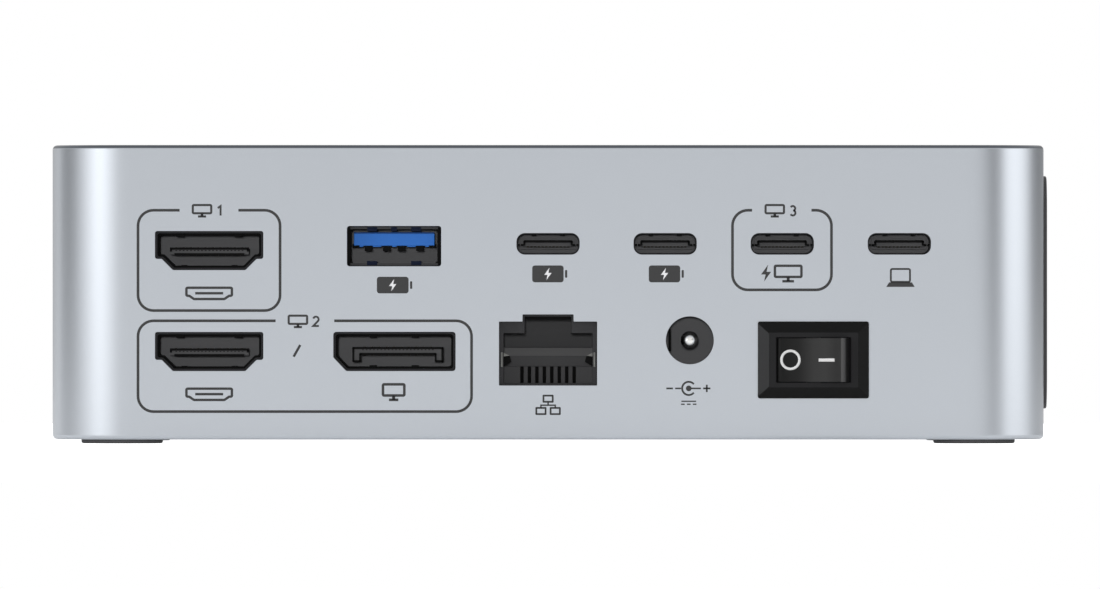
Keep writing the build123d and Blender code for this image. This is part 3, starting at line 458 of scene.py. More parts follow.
prism(
    cutters,
    lambda u, v, depth: (BODY_WIDTH / 2 - depth, u, MIDDLE_Z + v),
    box_outline(62.0, 31.8, 5.0, 8),
    -1.0,
    0.6,
)
prism(
    cutters,
    lambda u, v, depth: (depth - BODY_WIDTH / 2, 20.0 - u, MIDDLE_Z + v),
    circle_outline(3.4),
    -1.0,
    SIDE_WALL + 0.8,
)
housing = new_piece("housing_body", housing_shell(), ANODISED)
cut(housing, cutters)
ease(housing, 0.09, 2, 40.0)
posts = bmesh.new()
SCREW_BORE = 2.55
BORE_DEPTH = 7.0
for places, diameter, low in ((POST_PLACES, 6.4, PLATE_TOP), (BOARD_POST_PLACES, 6.0, PORT_BOARD_TOP)):
    for x, y in places:
        ring = lambda u, v, depth, x=x, y=y, low=low: (x + u, y + v, low + depth)
        sleeve(posts, ring, circle_outline(diameter), circle_outline(SCREW_BORE), 0.0, BORE_DEPTH)
        prism(posts, ring, circle_outline(diameter), BORE_DEPTH, CEILING_Z - low)
posts_piece = new_piece("housing_posts", posts, ANODISED)
# The faces in the top edge's rounding take the darker copy, a painted shade line along the top.
repaint(housing, TOP_EDGE_SHADE_PAINT, lambda middle: ROOF_Z - 0.42 < middle.z < ROOF_Z - 0.005)
settle(housing, "housing_aluminium", "housing")
settle(posts_piece, "housing_aluminium")


# ---- Base plate, its screws and the feet ----
# A brushed aluminium plate let into the underside and held by four sunk screws. Each
# screw is covered by a round grey rubber foot, glued into its own shallow bed.
def eased_copy(node, material, slot, bevel=0.05, segments=2, angle=30.0, body="dock"):
    """A merged copy of a CAD piece with its edges eased, standing for that piece."""
    build = bmesh.new()
    build.from_mesh(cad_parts[node].data)
    bmesh.ops.remove_doubles(build, verts=build.verts, dist=1e-6)
    bmesh.ops.dissolve_limit(build, angle_limit=math.radians(0.5), verts=build.verts, edges=build.edges)
    mesh = bpy.data.meshes.new(f"{node}_eased")
    build.to_mesh(mesh)
    build.free()
    piece = placed(f"{node}_eased", mesh)
    mesh.materials.clear()
    mesh.materials.append(material)
    ease(piece, bevel, segments, angle)
    settle(piece, slot, node, body=body)
    return piece


def keep(node, material):
    """A CAD piece whose shape is right as it is gets its finish."""
    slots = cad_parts[node].material_slots
    for index in range(len(slots)):
        slots[index].material = material


BRUSHED = finish("brushed_base", (0.47, 0.5, 0.53), 0.38, 1.0, 1800.0, 0.2, 0.05, 0.08)
STEEL = finish("zinc_screw", (0.55, 0.55, 0.56), 0.3, 1.0, 3000.0, 0.05, 0.08, 0.05)
FOOT_RUBBER = finish("grey_rubber", (0.045, 0.045, 0.047), 0.62, 0.0, 2500.0, 0.35, 0.10, 0.25)
eased_copy("base_plate", BRUSHED, "base_aluminium", 0.1)
keep("base_screws", STEEL)
feet = bmesh.new()
FOOT_PROFILE = (
    (5.55, 1.05), (5.55, 0.3), (5.51, 0.14), (5.40, 0.04), (5.25, 0.0), (4.6, 0.0), (4.5, 0.05), (4.3, 0.05),
)
for x, y in POST_PLACES:
    loops = [
        [feet.verts.new((x + u, y + v, z)) for u, v in circle_outline(2 * r, 48)] for r, z in FOOT_PROFILE
    ]
    stack(feet, loops)
feet_piece = new_piece("feet", feet, FOOT_RUBBER)
settle(feet_piece, "foot_rubber", "foot_rear_left", "foot_rear_right", "foot_front_left", "foot_front_right")


# ---- Side pad and status lens ----
# A moulded black rubber pad fills a shallow bed on the right side, so that the dock can
# stand on edge. On the left a clear light guide carries the status light through the wall.
PAD_RUBBER = finish("black_rubber_pad", (0.018, 0.018, 0.019), 0.55, 0.0, 1500.0, 0.5, 0.10, 0.3)
LENS = finish(
    "clear_lens", (0.8, 0.84, 0.86), 0.08, 0.0, 900.0, 0.02, 0.02, 0.0,
    Transmission_Weight=0.85, IOR=1.49,
)
pad = bmesh.new()
pad_place = lambda u, v, depth: (BODY_WIDTH / 2 - depth, u, MIDDLE_Z + v)
pad_loops = []
for inset, depth in (
    (0.05, 0.6), (0.05, -0.3), (0.09, -0.40), (0.17, -0.47), (0.27, -0.5),
    (1.5, -0.5), (1.6, -0.42), (2.0, -0.42), (2.1, -0.5), (3.6, -0.5),
):
    outline = box_outline(62.0 - 2 * inset, 31.8 - 2 * inset, 5.0 - inset, 10)
    pad_loops.append([pad.verts.new(pad_place(u, v, depth)) for u, v in outline])
stack(pad, pad_loops)
settle(new_piece("side_pad_rubber", pad, PAD_RUBBER), "pad_rubber", "side_pad")
eased_copy("side_status_lens", LENS, "lens_acrylic", 0.12, 3)
keep("status_led", finish("led_phosphor", (0.85, 0.8, 0.55), 0.35, 0.0, 2000.0, 0.05))


# ---- Boards and what joins them ----
# Two green glass-fibre boards. The upper hangs from posts in the roof; brass standoffs
# hold the lower one to it, and a board to board connector joins the two.
BOARD = finish("solder_mask", (0.01, 0.06, 0.035), 0.35, 0.0, 1200.0, 0.1, 0.15, 0.1, Coat_Weight=0.4)
BRASS = finish("turned_brass", (0.6, 0.45, 0.18), 0.28, 1.0, 1500.0, 0.08)
MOULDING = finish("black_connector", (0.02, 0.02, 0.02), 0.5, 0.0, 2200.0, 0.2)
keep("main_board", BOARD)
keep("port_board", BOARD)
keep("board_standoffs", BRASS)
keep("board_screws", STEEL)
keep("link_header", MOULDING)
keep("link_socket", MOULDING)


# ---- Parts on the boards ----
# Epoxy chips under soft pads and a finned plate that carries their heat to the case,
# and the coils, cans and transformer of the power and network circuits.
keep("port_chips", finish("chip_epoxy", (0.015, 0.015, 0.016), 0.45, 0.0, 2600.0, 0.2))
keep("main_chips", bpy.data.materials["chip_epoxy"])
keep("thermal_pads", finish("soft_thermal_pad", (0.35, 0.4, 0.48), 0.7, 0.0, 900.0, 0.3))
keep("heat_spreader", finish("extruded_fins", (0.6, 0.61, 0.62), 0.35, 1.0, 900.0, 0.15))
keep("inductors", finish("sintered_ferrite", (0.06, 0.06, 0.065), 0.65, 0.0, 1600.0, 0.4))
keep("capacitors", finish("drawn_can", (0.55, 0.55, 0.56), 0.3, 1.0, 900.0, 0.05))
keep("network_transformer", MOULDING)


# ---- Sockets: finishes that they share ----
# Drawn shells in dark nickel and satin grey insulators. Black liners between the two, black
# bars at the tongues and slots, and black fingers are painted shadow for the dark gaps in
# the mouths; the contacts are painted dark as shade.
SHELL = finish("dark_nickel_shell", (0.03, 0.03, 0.032), 0.42, 0.85, 2500.0, 0.08)
CORE = dull("grey_insulator", (0.058, 0.058, 0.06), 0.3, 0.55, 2600.0, 0.2, 0.05, 0.06)
# A darker copy of the insulator grey: painted shade for the insulator's faces near the mouth.
TONGUE_SHADE_PAINT = dull("tongue_painted_shade", (0.034, 0.034, 0.035), 0.3, 0.6, 2600.0, 0.2, 0.05, 0.06)
# Black for the dark gaps and shadows inside the sockets: painted shadow.
SHADOW_BLACK_PAINT = dull("painted_shadow_black", (0.002, 0.002, 0.002), 0.1, 0.8, 2600.0, 0.2, 0.05, 0.04)
# The contacts' metal is painted nearly black: painted shade for the shadow they lie in, so no gold shows.
CONTACT_IN_PAINTED_SHADE = finish(
    "contact_painted_shade_dark", (0.035, 0.029, 0.018), 0.45, 0.9, 1500.0, 0.05,
    Specular_IOR_Level=0.3,
)
SHELL_BACK = 1.5
SLOT_DEPTH = 2.16
LINER_BACK = 9.4


def bar_row_tree():
    """A row of equal bars with rounded section, lying front to back."""
    tree = bpy.data.node_groups.new("bar_row", "GeometryNodeTree")
    face = tree.interface
    for name, kind in (
        ("Count", "NodeSocketInt"), ("Pitch", "NodeSocketFloat"), ("Width", "NodeSocketFloat"),
        ("Thickness", "NodeSocketFloat"), ("Length", "NodeSocketFloat"), ("Corner", "NodeSocketFloat"),
        ("First", "NodeSocketVector"), ("Finish", "NodeSocketMaterial"),
    ):
        face.new_socket(name, in_out="INPUT", socket_type=kind)
    face.new_socket("Row", in_out="OUTPUT", socket_type="NodeSocketGeometry")
    nodes, links = tree.nodes, tree.links
    given = nodes.new("NodeGroupInput")
    section = nodes.new("GeometryNodeCurvePrimitiveQuadrilateral")
    corners = nodes.new("GeometryNodeFilletCurve")
    corners.mode = "POLY"
    corners.inputs["Count"].default_value = 2
    spine = nodes.new("GeometryNodeCurvePrimitiveLine")
    end = nodes.new("ShaderNodeCombineXYZ")
    sweep = nodes.new("GeometryNodeCurveToMesh")
    sweep.inputs["Fill Caps"].default_value = True
    step = nodes.new("ShaderNodeCombineXYZ")
    line = nodes.new("GeometryNodeMeshLine")
    spread = nodes.new("GeometryNodeInstanceOnPoints")
    real = nodes.new("GeometryNodeRealizeInstances")
    paint = nodes.new("GeometryNodeSetMaterial")
    result = nodes.new("NodeGroupOutput")
    for source, target in (
        (given.outputs["Width"], section.inputs["Width"]),
        (given.outputs["Thickness"], section.inputs["Height"]),
        (section.outputs[0], corners.inputs["Curve"]),
        (given.outputs["Corner"], corners.inputs["Radius"]),
        (given.outputs["Length"], end.inputs["Y"]),
        (end.outputs[0], spine.inputs["End"]),
        (spine.outputs[0], sweep.inputs["Curve"]),
        (corners.outputs[0], sweep.inputs["Profile Curve"]),
        (given.outputs["Count"], line.inputs["Count"]),
        (given.outputs["First"], line.inputs["Start Location"]),
        (given.outputs["Pitch"], step.inputs["X"]),
        (step.outputs[0], line.inputs["Offset"]),
        (line.outputs[0], spread.inputs["Points"]),
        (sweep.outputs[0], spread.inputs["Instance"]),
        (spread.outputs[0], real.inputs["Geometry"]),
        (real.outputs[0], paint.inputs["Geometry"]),
        (given.outputs["Finish"], paint.inputs["Material"]),
        (paint.outputs[0], result.inputs["Row"]),
    ):
        links.new(source, target)
    return tree


BAR_ROW = bar_row_tree()


def bar_row(name, material, count, pitch, width, thickness, length, middle, corner=0.02):
    """One row of bars about its middle, in millimetres, as a plain mesh piece."""
    piece = placed(name, bpy.data.meshes.new(name))
    row = piece.modifiers.new("row", "NODES")
    row.node_group = BAR_ROW
    x, y, z = middle
    values = {
        "Count": count,
        "Pitch": pitch * MM,
        "Width": width * MM,
        "Thickness": thickness * MM,
        "Length": length * MM,
        "Corner": corner * MM,
        "First": ((x - (count - 1) / 2 * pitch) * MM, y * MM, z * MM),
        "Finish": material,
    }
    for socket in BAR_ROW.interface.items_tree:
        if socket.in_out == "INPUT":
            row[socket.identifier] = values[socket.name]
    bake(piece)
    piece.data.set_sharp_from_angle(angle=math.radians(40))
    return piece


def bars(build, place, sizes):
    """Small blocks, each given by its left, right, low and high edge, its front and its back."""
    for left, right, low, high, start, end in sizes:
        prism(build, place, [(left, high), (right, high), (right, low), (left, low)], start, end)


def mirrored(*sizes):
    """The same blocks on both sides of the middle."""
    return [*sizes] + [(-right, -left, low, high, start, end) for left, right, low, high, start, end in sizes]


def blocks(name, place, sizes, material, slot, bevel=0.0, segments=2):
    """One piece made of small blocks."""
    build = bmesh.new()
    bars(build, place, sizes)
    settle(new_piece(name, build, material, bevel, segments), slot)


# ---- Video sockets ----
# Two sockets with a shouldered mouth, one above the other. A tongue carries ten contacts
# above and nine below; spring fingers in the shell hold the plug.
for name, board_z in (("video_socket_upper", VIDEO_UPPER_Z), ("video_socket_lower", VIDEO_LOWER_Z)):
    here = rear(VIDEO_X, board_z)
    eased_copy(f"{name}_shell", SHELL, "socket_shell", 0.07)
    core = eased_copy(f"{name}_core", CORE, "socket_core", 0.04)
    # Insulator faces nearer the mouth than the liner's back are painted darker as shade.
    repaint(core, TONGUE_SHADE_PAINT, lambda middle: middle.y + BODY_DEPTH / 2 < LINER_BACK)
    # The liner, the bars at the tongue, the spring fingers and the slots are black: painted shadow for the
    # dark gaps round the tongue and inside the shell.
    liner = bmesh.new()
    sleeve(liner, here, video_mouth(-0.31), video_mouth(-0.6), 1.9, LINER_BACK)
    bars(liner, here, [(-5.36, 5.36, 0.11, 0.42, 1.95, 2.4), (-4.75, 4.75, -0.66, -0.35, 1.95, 2.4)])
    bars(liner, here, mirrored((5.08, 5.36, -0.14, 0.2, 1.95, 2.4)))
    settle(new_piece(f"{name}_liner", liner, SHADOW_BLACK_PAINT), "black_moulding")
    fingers = mirrored((3.4, 4.5, 1.86, 2.33, 1.8, 5.5), (3.0, 3.8, -2.33, -1.96, 1.8, 5.5))
    blocks(f"{name}_springs", here, fingers, SHADOW_BLACK_PAINT, "socket_shell", 0.04)
    slots = bar_row(f"{name}_slots", SHADOW_BLACK_PAINT, 19, 0.5, 0.24, 0.1, 0.3, here(0.0, 0.0, SLOT_DEPTH))
    settle(slots, "black_moulding")
keep("video_contacts", CONTACT_IN_PAINTED_SHADE)


# ---- Display socket ----
# A wide mouth with one cut corner. Its tongue turns down at both ends, with ten contacts
# above and ten below, and the shell has two spring fingers above and two below.
here = rear(DISPLAY_X, DISPLAY_Z)
eased_copy("display_socket_shell", SHELL, "socket_shell", 0.07)
core = eased_copy("display_socket_core", CORE, "socket_core", 0.04)
# Insulator faces nearer the mouth than the liner's back are painted darker as shade.
repaint(core, TONGUE_SHADE_PAINT, lambda middle: middle.y + BODY_DEPTH / 2 < LINER_BACK)
# The liner, the bars and legs at the tongue, the spring fingers and the slots are black: painted shadow for
# the dark gaps in the mouth.
liner = bmesh.new()
sleeve(liner, here, display_mouth(-0.31), display_mouth(-0.6), 1.9, LINER_BACK)
TONGUE_SHIFT = 0.45
tongue = rear(DISPLAY_X + TONGUE_SHIFT, DISPLAY_Z)
bars(liner, tongue, [(-6.17, 6.17, 0.31, 0.61, 1.95, 2.4), (-5.2, 5.2, -0.51, -0.2, 1.95, 2.4)])
legs = mirrored(
    (5.91, 6.19, -1.4, 0.45, 1.95, 2.4),
    (5.0, 5.26, -1.4, -0.3, 1.95, 2.4),
    (5.1, 6.1, -1.45, -1.2, 1.95, 2.4),
)
bars(liner, tongue, legs)
settle(new_piece("display_socket_liner", liner, SHADOW_BLACK_PAINT), "black_moulding")
fingers = [
    (left, left + 1.0, low, low + 0.46, 1.8, 5.5) for low in (1.88, -2.34) for left in (-3.4, 2.3)
]
blocks("display_socket_springs", here, fingers, SHADOW_BLACK_PAINT, "socket_shell", 0.04)
slots = bar_row("display_socket_slots", SHADOW_BLACK_PAINT, 20, 0.5, 0.22, 0.09, 0.3, tongue(0.0, 0.22, SLOT_DEPTH))
settle(slots, "black_moulding")
keep("display_contacts", CONTACT_IN_PAINTED_SHADE)


# ---- Flat data sockets ----
# One on each panel: a blue moulded tongue along the top of a flat mouth, four wide
# contacts under it, and spring fingers stamped in the shell above and below. The fingers
# are painted navy as a reflection of the blue tongue; the dark lips, the black liner and
# the black squares under the tongue are painted shade.
BLUE = dull("blue_tongue", (0.012, 0.072, 0.255), drift=0.04)
DEEP_BLUE = dull("blue_edge", (0.003, 0.018, 0.07), 0.2, drift=0.04)
# A dark grey for the strips along the mouth's top and bottom: painted shade.
LIP_SHADE_PAINT = dull("lip_painted_shade", (0.02, 0.02, 0.021), 0.3, 0.6, bump=0.1, speckle=0.04)
# Navy on the spring fingers: the blue tongue's painted reflection.
FINGERS_BLUE_REFLECTION = dull("fingers_painted_blue_reflection", (0.001, 0.003, 0.011), 0.2, 0.6, bump=0.1, speckle=0.04)
for name, here in (
    ("data_socket", rear(DATA_X, DATA_Z)),
    ("front_data_socket", front(FRONT_DATA_X, DATA_Z)),
):
    eased_copy(f"{name}_shell", SHELL, "socket_shell", 0.07)
    block = bmesh.new()
    prism(block, here, data_mouth(-0.36), 10.5, 15.4)
    bars(block, here, [(-6.395, 6.395, -3.62, 2.73, 15.55, 17.55), (-5.9, 5.9, -2.2, 2.2, 15.3, 15.7)])
    settle(new_piece(f"{name}_block", block, CORE, 0.05), "socket_core", f"{name}_core")
    blocks(f"{name}_tongue", here, [(-5.48, 5.48, 0.03, 1.84, 2.2, 10.6)], BLUE, "data_core", 0.12, 3)
    edge = [(-5.46, 5.46, 1.7, 1.9, 2.12, 6.0)]
    blocks(f"{name}_tongue_edge", here, edge, DEEP_BLUE, "data_core", 0.03)
    edges = (-5.3, -4.2, -2.9, -1.75, -0.3, 0.3, 1.75, 2.9, 4.2, 5.3)
    teeth = [(a, b, -0.1, 0.1, 2.3, 4.0) for a, b in zip(edges[::2], edges[1::2])]
    blocks(f"{name}_teeth", here, teeth, BLUE, "data_core", 0.03)
    # Black sleeve, bars and squares: painted shadow in the gaps of the mouth and under the tongue.
    liner = bmesh.new()
    bars(liner, here, mirrored((5.95, 6.33, -2.6, 2.6, 1.42, 1.49), (5.62, 5.96, 2.1, 2.42, 1.8, 2.0)))
    bars(liner, here, mirrored((5.62, 5.96, -2.42, -2.1, 1.8, 2.0), (4.7, 5.5, -0.12, 0.1, 2.15, 3.2)))
    sleeve(liner, here, data_mouth(-0.31), data_mouth(-0.36), 1.5, 10.4)
    bars(liner, here, [(x - 0.52, x + 0.52, -0.66, 0.05, 2.15, 3.2) for x in (-3.5, -1.0, 1.0, 3.5)])
    bars(liner, here, mirrored((5.5, 5.68, -0.2, 0.3, 2.4, 10.4), (5.86, 6.06, -2.3, 2.3, 2.0, 10.4)))
    settle(new_piece(f"{name}_liner", liner, SHADOW_BLACK_PAINT), "black_moulding")
    above = ((-3.66, -2.3), (-0.42, 0.4), (2.3, 3.66))
    fingers = [(a, b, 2.0, 2.58, 1.405, 6.0) for a, b in above]
    fingers += mirrored((2.3, 3.7, -2.58, -2.02, 1.405, 6.0))
    blocks(f"{name}_springs", here, fingers, FINGERS_BLUE_REFLECTION, "socket_shell", 0.03)
    # Dark grey strips along the top and bottom of the mouth: painted shade.
    lip_shades = [(-5.95, 5.95, 2.3, 2.6, 1.43, 1.49), (-5.95, 5.95, -2.62, -2.3, 1.43, 1.49)]
    blocks(f"{name}_lips", here, lip_shades, LIP_SHADE_PAINT, "socket_shell")
keep("data_contacts", CONTACT_IN_PAINTED_SHADE)


# ---- Oval data sockets ----
# Four small oval sockets behind and one in front, each a thin steel shell round a grey
# insulator whose tongue carries twelve contacts above and twelve below.
OVAL_FACES = [(f"oval_socket_{index + 1}", rear(x, OVAL_Z)) for index, x in enumerate(OVAL_X)]
for name, here in OVAL_FACES + [("front_oval_socket", front(0.0, OVAL_Z))]:
    eased_copy(f"{name}_shell", SHELL, "socket_shell", 0.04)
    core = eased_copy(f"{name}_core", CORE, "socket_core", 0.04)
    # Insulator faces within 6 mm of the panel are painted darker as shade.
    repaint(core, TONGUE_SHADE_PAINT, lambda middle: BODY_DEPTH / 2 - abs(middle.y) < 6.0)
    # Black pieces above the tongue and at its ends: painted shadow for the dark grooves round it.
    gaps = [(-3.28, 3.28, 0.17, 0.5, 1.6, 2.4)]
    gaps += mirrored((3.08, 3.36, -0.24, 0.4, 1.6, 2.4), (3.3, 3.7, -0.25, -0.02, 1.8, 6.3))
    gaps += mirrored((3.84, 4.1, -0.25, -0.02, 1.8, 2.4)) + mirrored((1.6, 2.25, 1.14, 1.29, 1.75, 4.0))
    blocks(f"{name}_liner", here, gaps, SHADOW_BLACK_PAINT, "black_moulding")
keep("oval_contacts", CONTACT_IN_PAINTED_SHADE)


# ---- Network socket ----
# A moulded block with a comb of eight contact slots in its lower part and the channel
# for the plug's latch above, wrapped in a tin plated can with a clip at each side. Black
# pieces at the clips, the latch, the ledges and over the slots are painted shadow, and the
# comb's sloped band is painted lighter as light.
NETWORK_BODY = dull("dark_grey_moulding", (0.015, 0.015, 0.016), drift=0.04)
CHANNEL = dull("channel_moulding", (0.03, 0.03, 0.031), 0.3, 0.6, drift=0.04)
# A paler grey for the comb's sloped band: painted light, as the band faces up towards the light.
RAMP_PAINTED_LIGHT = dull("ramp_painted_light", (0.075, 0.075, 0.076), 0.3, 0.4, drift=0.04)
TIN = finish("tin_plate", (0.5, 0.5, 0.49), 0.32, 1.0, 1500.0, 0.08)
DULL_TIN = finish("dull_tin_clip", (0.22, 0.22, 0.21), 0.45, 1.0, 1500.0, 0.08)
network_body = eased_copy("network_socket_body", NETWORK_BODY, "socket_core", 0.06)
repaint(network_body, CHANNEL, lambda middle: -38.5 < middle.y < -27.0)
repaint(network_body, RAMP_PAINTED_LIGHT, lambda middle: 11.9 < middle.z < 13.0 and -34.0 < middle.y < -32.0)
here = rear(0.0, NETWORK_Z)
can = bmesh.new()
bars(can, here, [(-8.3, 8.3, 11.2, 11.45, 1.5, 17.35), (-8.3, 8.3, -1.4, 11.45, 17.1, 17.35)])
bars(can, here, mirrored((8.05, 8.3, -1.4, 11.45, 1.5, 17.35), (8.3, 9.3, 1.59, 1.84, 6.78, 12.57)))
settle(new_piece("network_can", can, TIN, 0.05), "socket_shell", "network_socket_shield")
clips = bmesh.new()
bars(clips, here, mirrored((6.17, 6.43, 2.5, 4.5, 1.45, 1.73)))
for side in (-1, 1):
    leaf = [(side * 6.15, 4.5), (side * 5.25, 4.05), (side * 6.15, 3.9)]
    prism(clips, here, leaf, 1.95, 2.05)
settle(new_piece("network_clips", clips, DULL_TIN, 0.03), "socket_shell")
# Black pieces at the clips, below the latch and along the ledges: painted shadow.
shades = bmesh.new()
for side in (-1, 1):
    shade = [(side * 6.04, 3.9), (side * 5.2, 4.0), (side * 5.0, 3.2), (side * 6.04, 2.6)]
    prism(shades, here, shade, 2.1, 2.3)
bars(shades, here, [(-3.17, 3.17, 9.0, 9.35, 1.8, 3.0)])
bars(shades, here, mirrored((3.0, 6.0, 6.98, 7.06, 1.72, 1.8)))
settle(new_piece("network_shades", shades, SHADOW_BLACK_PAINT), "black_moulding")
slots = bar_row("network_slot_shades", SHADOW_BLACK_PAINT, 8, 1.016, 0.43, 2.2, 0.3, here(0.0, 1.42, 7.85))
settle(slots, "black_moulding")
keep("network_contacts", CONTACT_IN_PAINTED_SHADE)


# ---- Power inlet ----
# A moulded barrel with a domed nickel pin pressed in on its axis and one leaf contact let
# into its side.
PIN_METAL = finish("bright_nickel", (0.95, 0.94, 0.92), 0.2, 1.0, 1200.0, 0.04)
eased_copy("power_inlet_body", CORE, "socket_core", 0.06)
pin = bmesh.new()
PIN_RADIUS = 1.225
PIN_LENGTH = 10.0
turns = [math.radians(7.5 * step) for step in range(1, 13)]
levels = [(1.0 + PIN_RADIUS - PIN_RADIUS * math.cos(a), PIN_RADIUS * math.sin(a)) for a in turns]
levels.append((PIN_LENGTH, PIN_RADIUS))
pin_place = rear(INLET_X, INLET_Z)
loops = [
    [pin.verts.new(pin_place(u, v, SHELL_BACK + depth)) for u, v in circle_outline(2 * r, 40)]
    for depth, r in levels
]
stack(pin, loops)
prism(pin, pin_place, circle_outline(1.8), SHELL_BACK + PIN_LENGTH, SHELL_BACK + PIN_LENGTH + 3.5)
settle(new_piece("power_inlet_pin_domed", pin, PIN_METAL), "pin_metal", "power_inlet_pin")
# The leaf contact is painted shadow black.
keep("power_inlet_leaf", SHADOW_BLACK_PAINT)


# ---- Rocker switch ----
# A snap-in frame with a sloped bezel, and a glossier paddle that rocks on two stub pins.
# The paddle carries a ring at its off end and a bar at its on end. The light and shade on
# the bezel's slopes and along the paddle are painted into their finishes.
SWITCH_PLASTIC = dull("moulded_switch_frame", (0.0075, 0.0075, 0.008), 0.15, 0.5, 1600.0, 0.3, 0.05, 0.1)
# Two copies of the frame plastic paint the bezel's light: painted shade for the top, right and bottom slopes,
# and a painted lit tone for the left slope.
SLOPE_SHADE_PAINT = dull("slope_painted_shade", (0.003, 0.003, 0.003), 0.12, 0.5, 1600.0, 0.3, 0.05, 0.1)
SLOPE_LIGHT_PAINT = dull("slope_painted_light", (0.016, 0.016, 0.0165), 0.2, 0.5, 1600.0, 0.3, 0.05, 0.1)
ROCKER_PLASTIC = dull("moulded_rocker", (0.01, 0.01, 0.0105), 0.15, 0.4, 1600.0, 0.12, 0.05, 0.08)
# A ramp across the paddle paints its light and shade: dark on the pressed end, lighter in the middle, a
# painted highlight on the raised end's rounded edge and painted shade on its end face.
paddle_light_and_shade = ROCKER_PLASTIC.node_tree
across = paddle_light_and_shade.nodes.new("ShaderNodeSeparateXYZ")
share = scaled(paddle_light_and_shade.nodes, (SWITCH_X - 5.0) * MM, (SWITCH_X + 5.0) * MM)
PADDLE_PAINTED_LIGHT = (
    (0.0, 0.001), (0.05, 0.004), (0.3, 0.007), (0.5, 0.017), (0.66, 0.017), (0.8, 0.011),
    (0.865, 0.012), (0.88, 0.045), (0.93, 0.036), (0.945, 0.006),
)
paddle_light_ramp = tone_ramp(paddle_light_and_shade.nodes, PADDLE_PAINTED_LIGHT)
coordinates = next(node for node in paddle_light_and_shade.nodes if node.type == "TEX_COORD")
grained = next(node for node in paddle_light_and_shade.nodes if node.type == "GROUP")
paddle_light_and_shade.links.new(coordinates.outputs["Object"], across.inputs[0])
paddle_light_and_shade.links.new(across.outputs["X"], share.inputs["Value"])
paddle_light_and_shade.links.new(share.outputs["Result"], paddle_light_ramp.inputs[0])
paddle_light_and_shade.links.new(paddle_light_ramp.outputs["Color"], grained.inputs["Tone"])
MARK_WHITE = finish("pale_mark", (0.37, 0.37, 0.37), 0.45, 0.0, 1600.0, 0.05)
here = rear(SWITCH_X, SWITCH_Z)
frame_build = bmesh.new()
levels = (
    (13.2, 8.8, 0.1, 12.0), (13.2, 8.8, 0.1, 0.0), (15.08, 10.44, 0.28, 0.0), (15.08, 10.44, 0.28, -0.45),
    (12.08, 7.44, 0.12, -1.85), (10.2, 6.16, 0.06, -1.85), (10.2, 6.16, 0.06, 2.75),
)
loops = [
    [frame_build.verts.new(here(u, v, depth)) for u, v in box_outline(width, height, radius, 3)]
    for width, height, radius, depth in levels
]
for near, far in zip(loops, loops[1:]):
    sides(frame_build, near, far)
frame_build.faces.new(loops[0])
frame_build.faces.new(loops[-1])
for side in (-1, 1):
    snap = [(side * 6.6, 1.5), (side * 7.1, 1.5), (side * 6.6, 3.9)]
    prism(frame_build, lambda u, v, z: (SWITCH_X + u, v - BODY_DEPTH / 2, SWITCH_Z + z), snap, -1.5, 1.5)
switch_frame = new_piece("switch_frame_moulding", frame_build, SWITCH_PLASTIC)
pivots = bmesh.new()
prism(
    pivots,
    lambda u, v, z: (SWITCH_X + u, v - BODY_DEPTH / 2 - 0.65, SWITCH_Z + z),
    circle_outline(1.92, 24),
    -3.84,
    3.84,
)
cut(switch_frame, pivots)
ease(switch_frame, 0.1, 3, 20.0)
RIM_HALF_WIDTH = 6.05
RIM_HALF_HEIGHT = 3.75


def on_slope(middle):
    """True for the bezel's faces between its flange and its flat rim."""
    return -44.3 < middle.y < -42.6


# The top, right and bottom slopes take the painted shade.
repaint(
    switch_frame,
    SLOPE_SHADE_PAINT,
    lambda middle: on_slope(middle)
    and (middle.x - SWITCH_X > RIM_HALF_WIDTH or abs(middle.z - SWITCH_Z) > RIM_HALF_HEIGHT),
)
# The left slope takes the painted light, as from a lamp on the left.
repaint(
    switch_frame,
    SLOPE_LIGHT_PAINT,
    lambda middle: on_slope(middle)
    and SWITCH_X - middle.x > RIM_HALF_WIDTH
    and abs(middle.z - SWITCH_Z) < RIM_HALF_HEIGHT,
)
settle(switch_frame, "switch_plastic", "switch_frame")
rocker = eased_copy("switch_rocker", ROCKER_PLASTIC, "rocker_plastic", 0.14, 3, body="rocker")
rocker_surface = BVHTree.FromObject(rocker, bpy.context.evaluated_depsgraph_get())


def on_rocker(u, v):
    """The point on the paddle's face straight behind a place, a hair in front of it."""
    origin = Vector((SWITCH_X + u, -50.0, SWITCH_Z + v)) * MM
    hit = rocker_surface.ray_cast(origin, Vector((0.0, 1.0, 0.0)))[0]
    return hit + Vector((0.0, -0.00002, 0.0))


def rocker_mark(name, strips):
    """A moulded-in mark that follows the paddle's face; each strip is a list of point pairs."""
    build = bmesh.new()
    for strip in strips:
        rows = [[build.verts.new(on_rocker(*point) / MM) for point in pair] for pair in strip]
        for near, far in zip(rows, rows[1:]):
            build.faces.new((near[0], far[0], far[1], near[1]))
    piece = new_piece(name, build, MARK_WHITE)
    thick = piece.modifiers.new("body", "SOLIDIFY")
    thick.thickness = 0.00003
    thick.offset = 0.0
    bake(piece)
    settle(piece, "white_moulding", body="rocker")


ring_strip = []
for step in range(41):
    a = 2 * math.pi * step / 40
    ring_strip.append([(-3.13 + r * math.sin(a), 0.02 + r * math.cos(a)) for r in (1.05, 1.4)])
rocker_mark("rocker_ring_mark", [ring_strip])
bar_strip = [[(0.69 + 0.107 * step, v) for v in (-0.215, 0.215)] for step in range(21)]
rocker_mark("rocker_bar_mark", [bar_strip])
keep("switch_terminals", PIN_METAL)
keep("switch_leads", finish("red_insulation", (0.3, 0.02, 0.02), 0.45, 0.0, 900.0, 0.1))
keep("switch_header", finish("ivory_moulding", (0.8, 0.79, 0.74), 0.45, 0.0, 1500.0, 0.15))


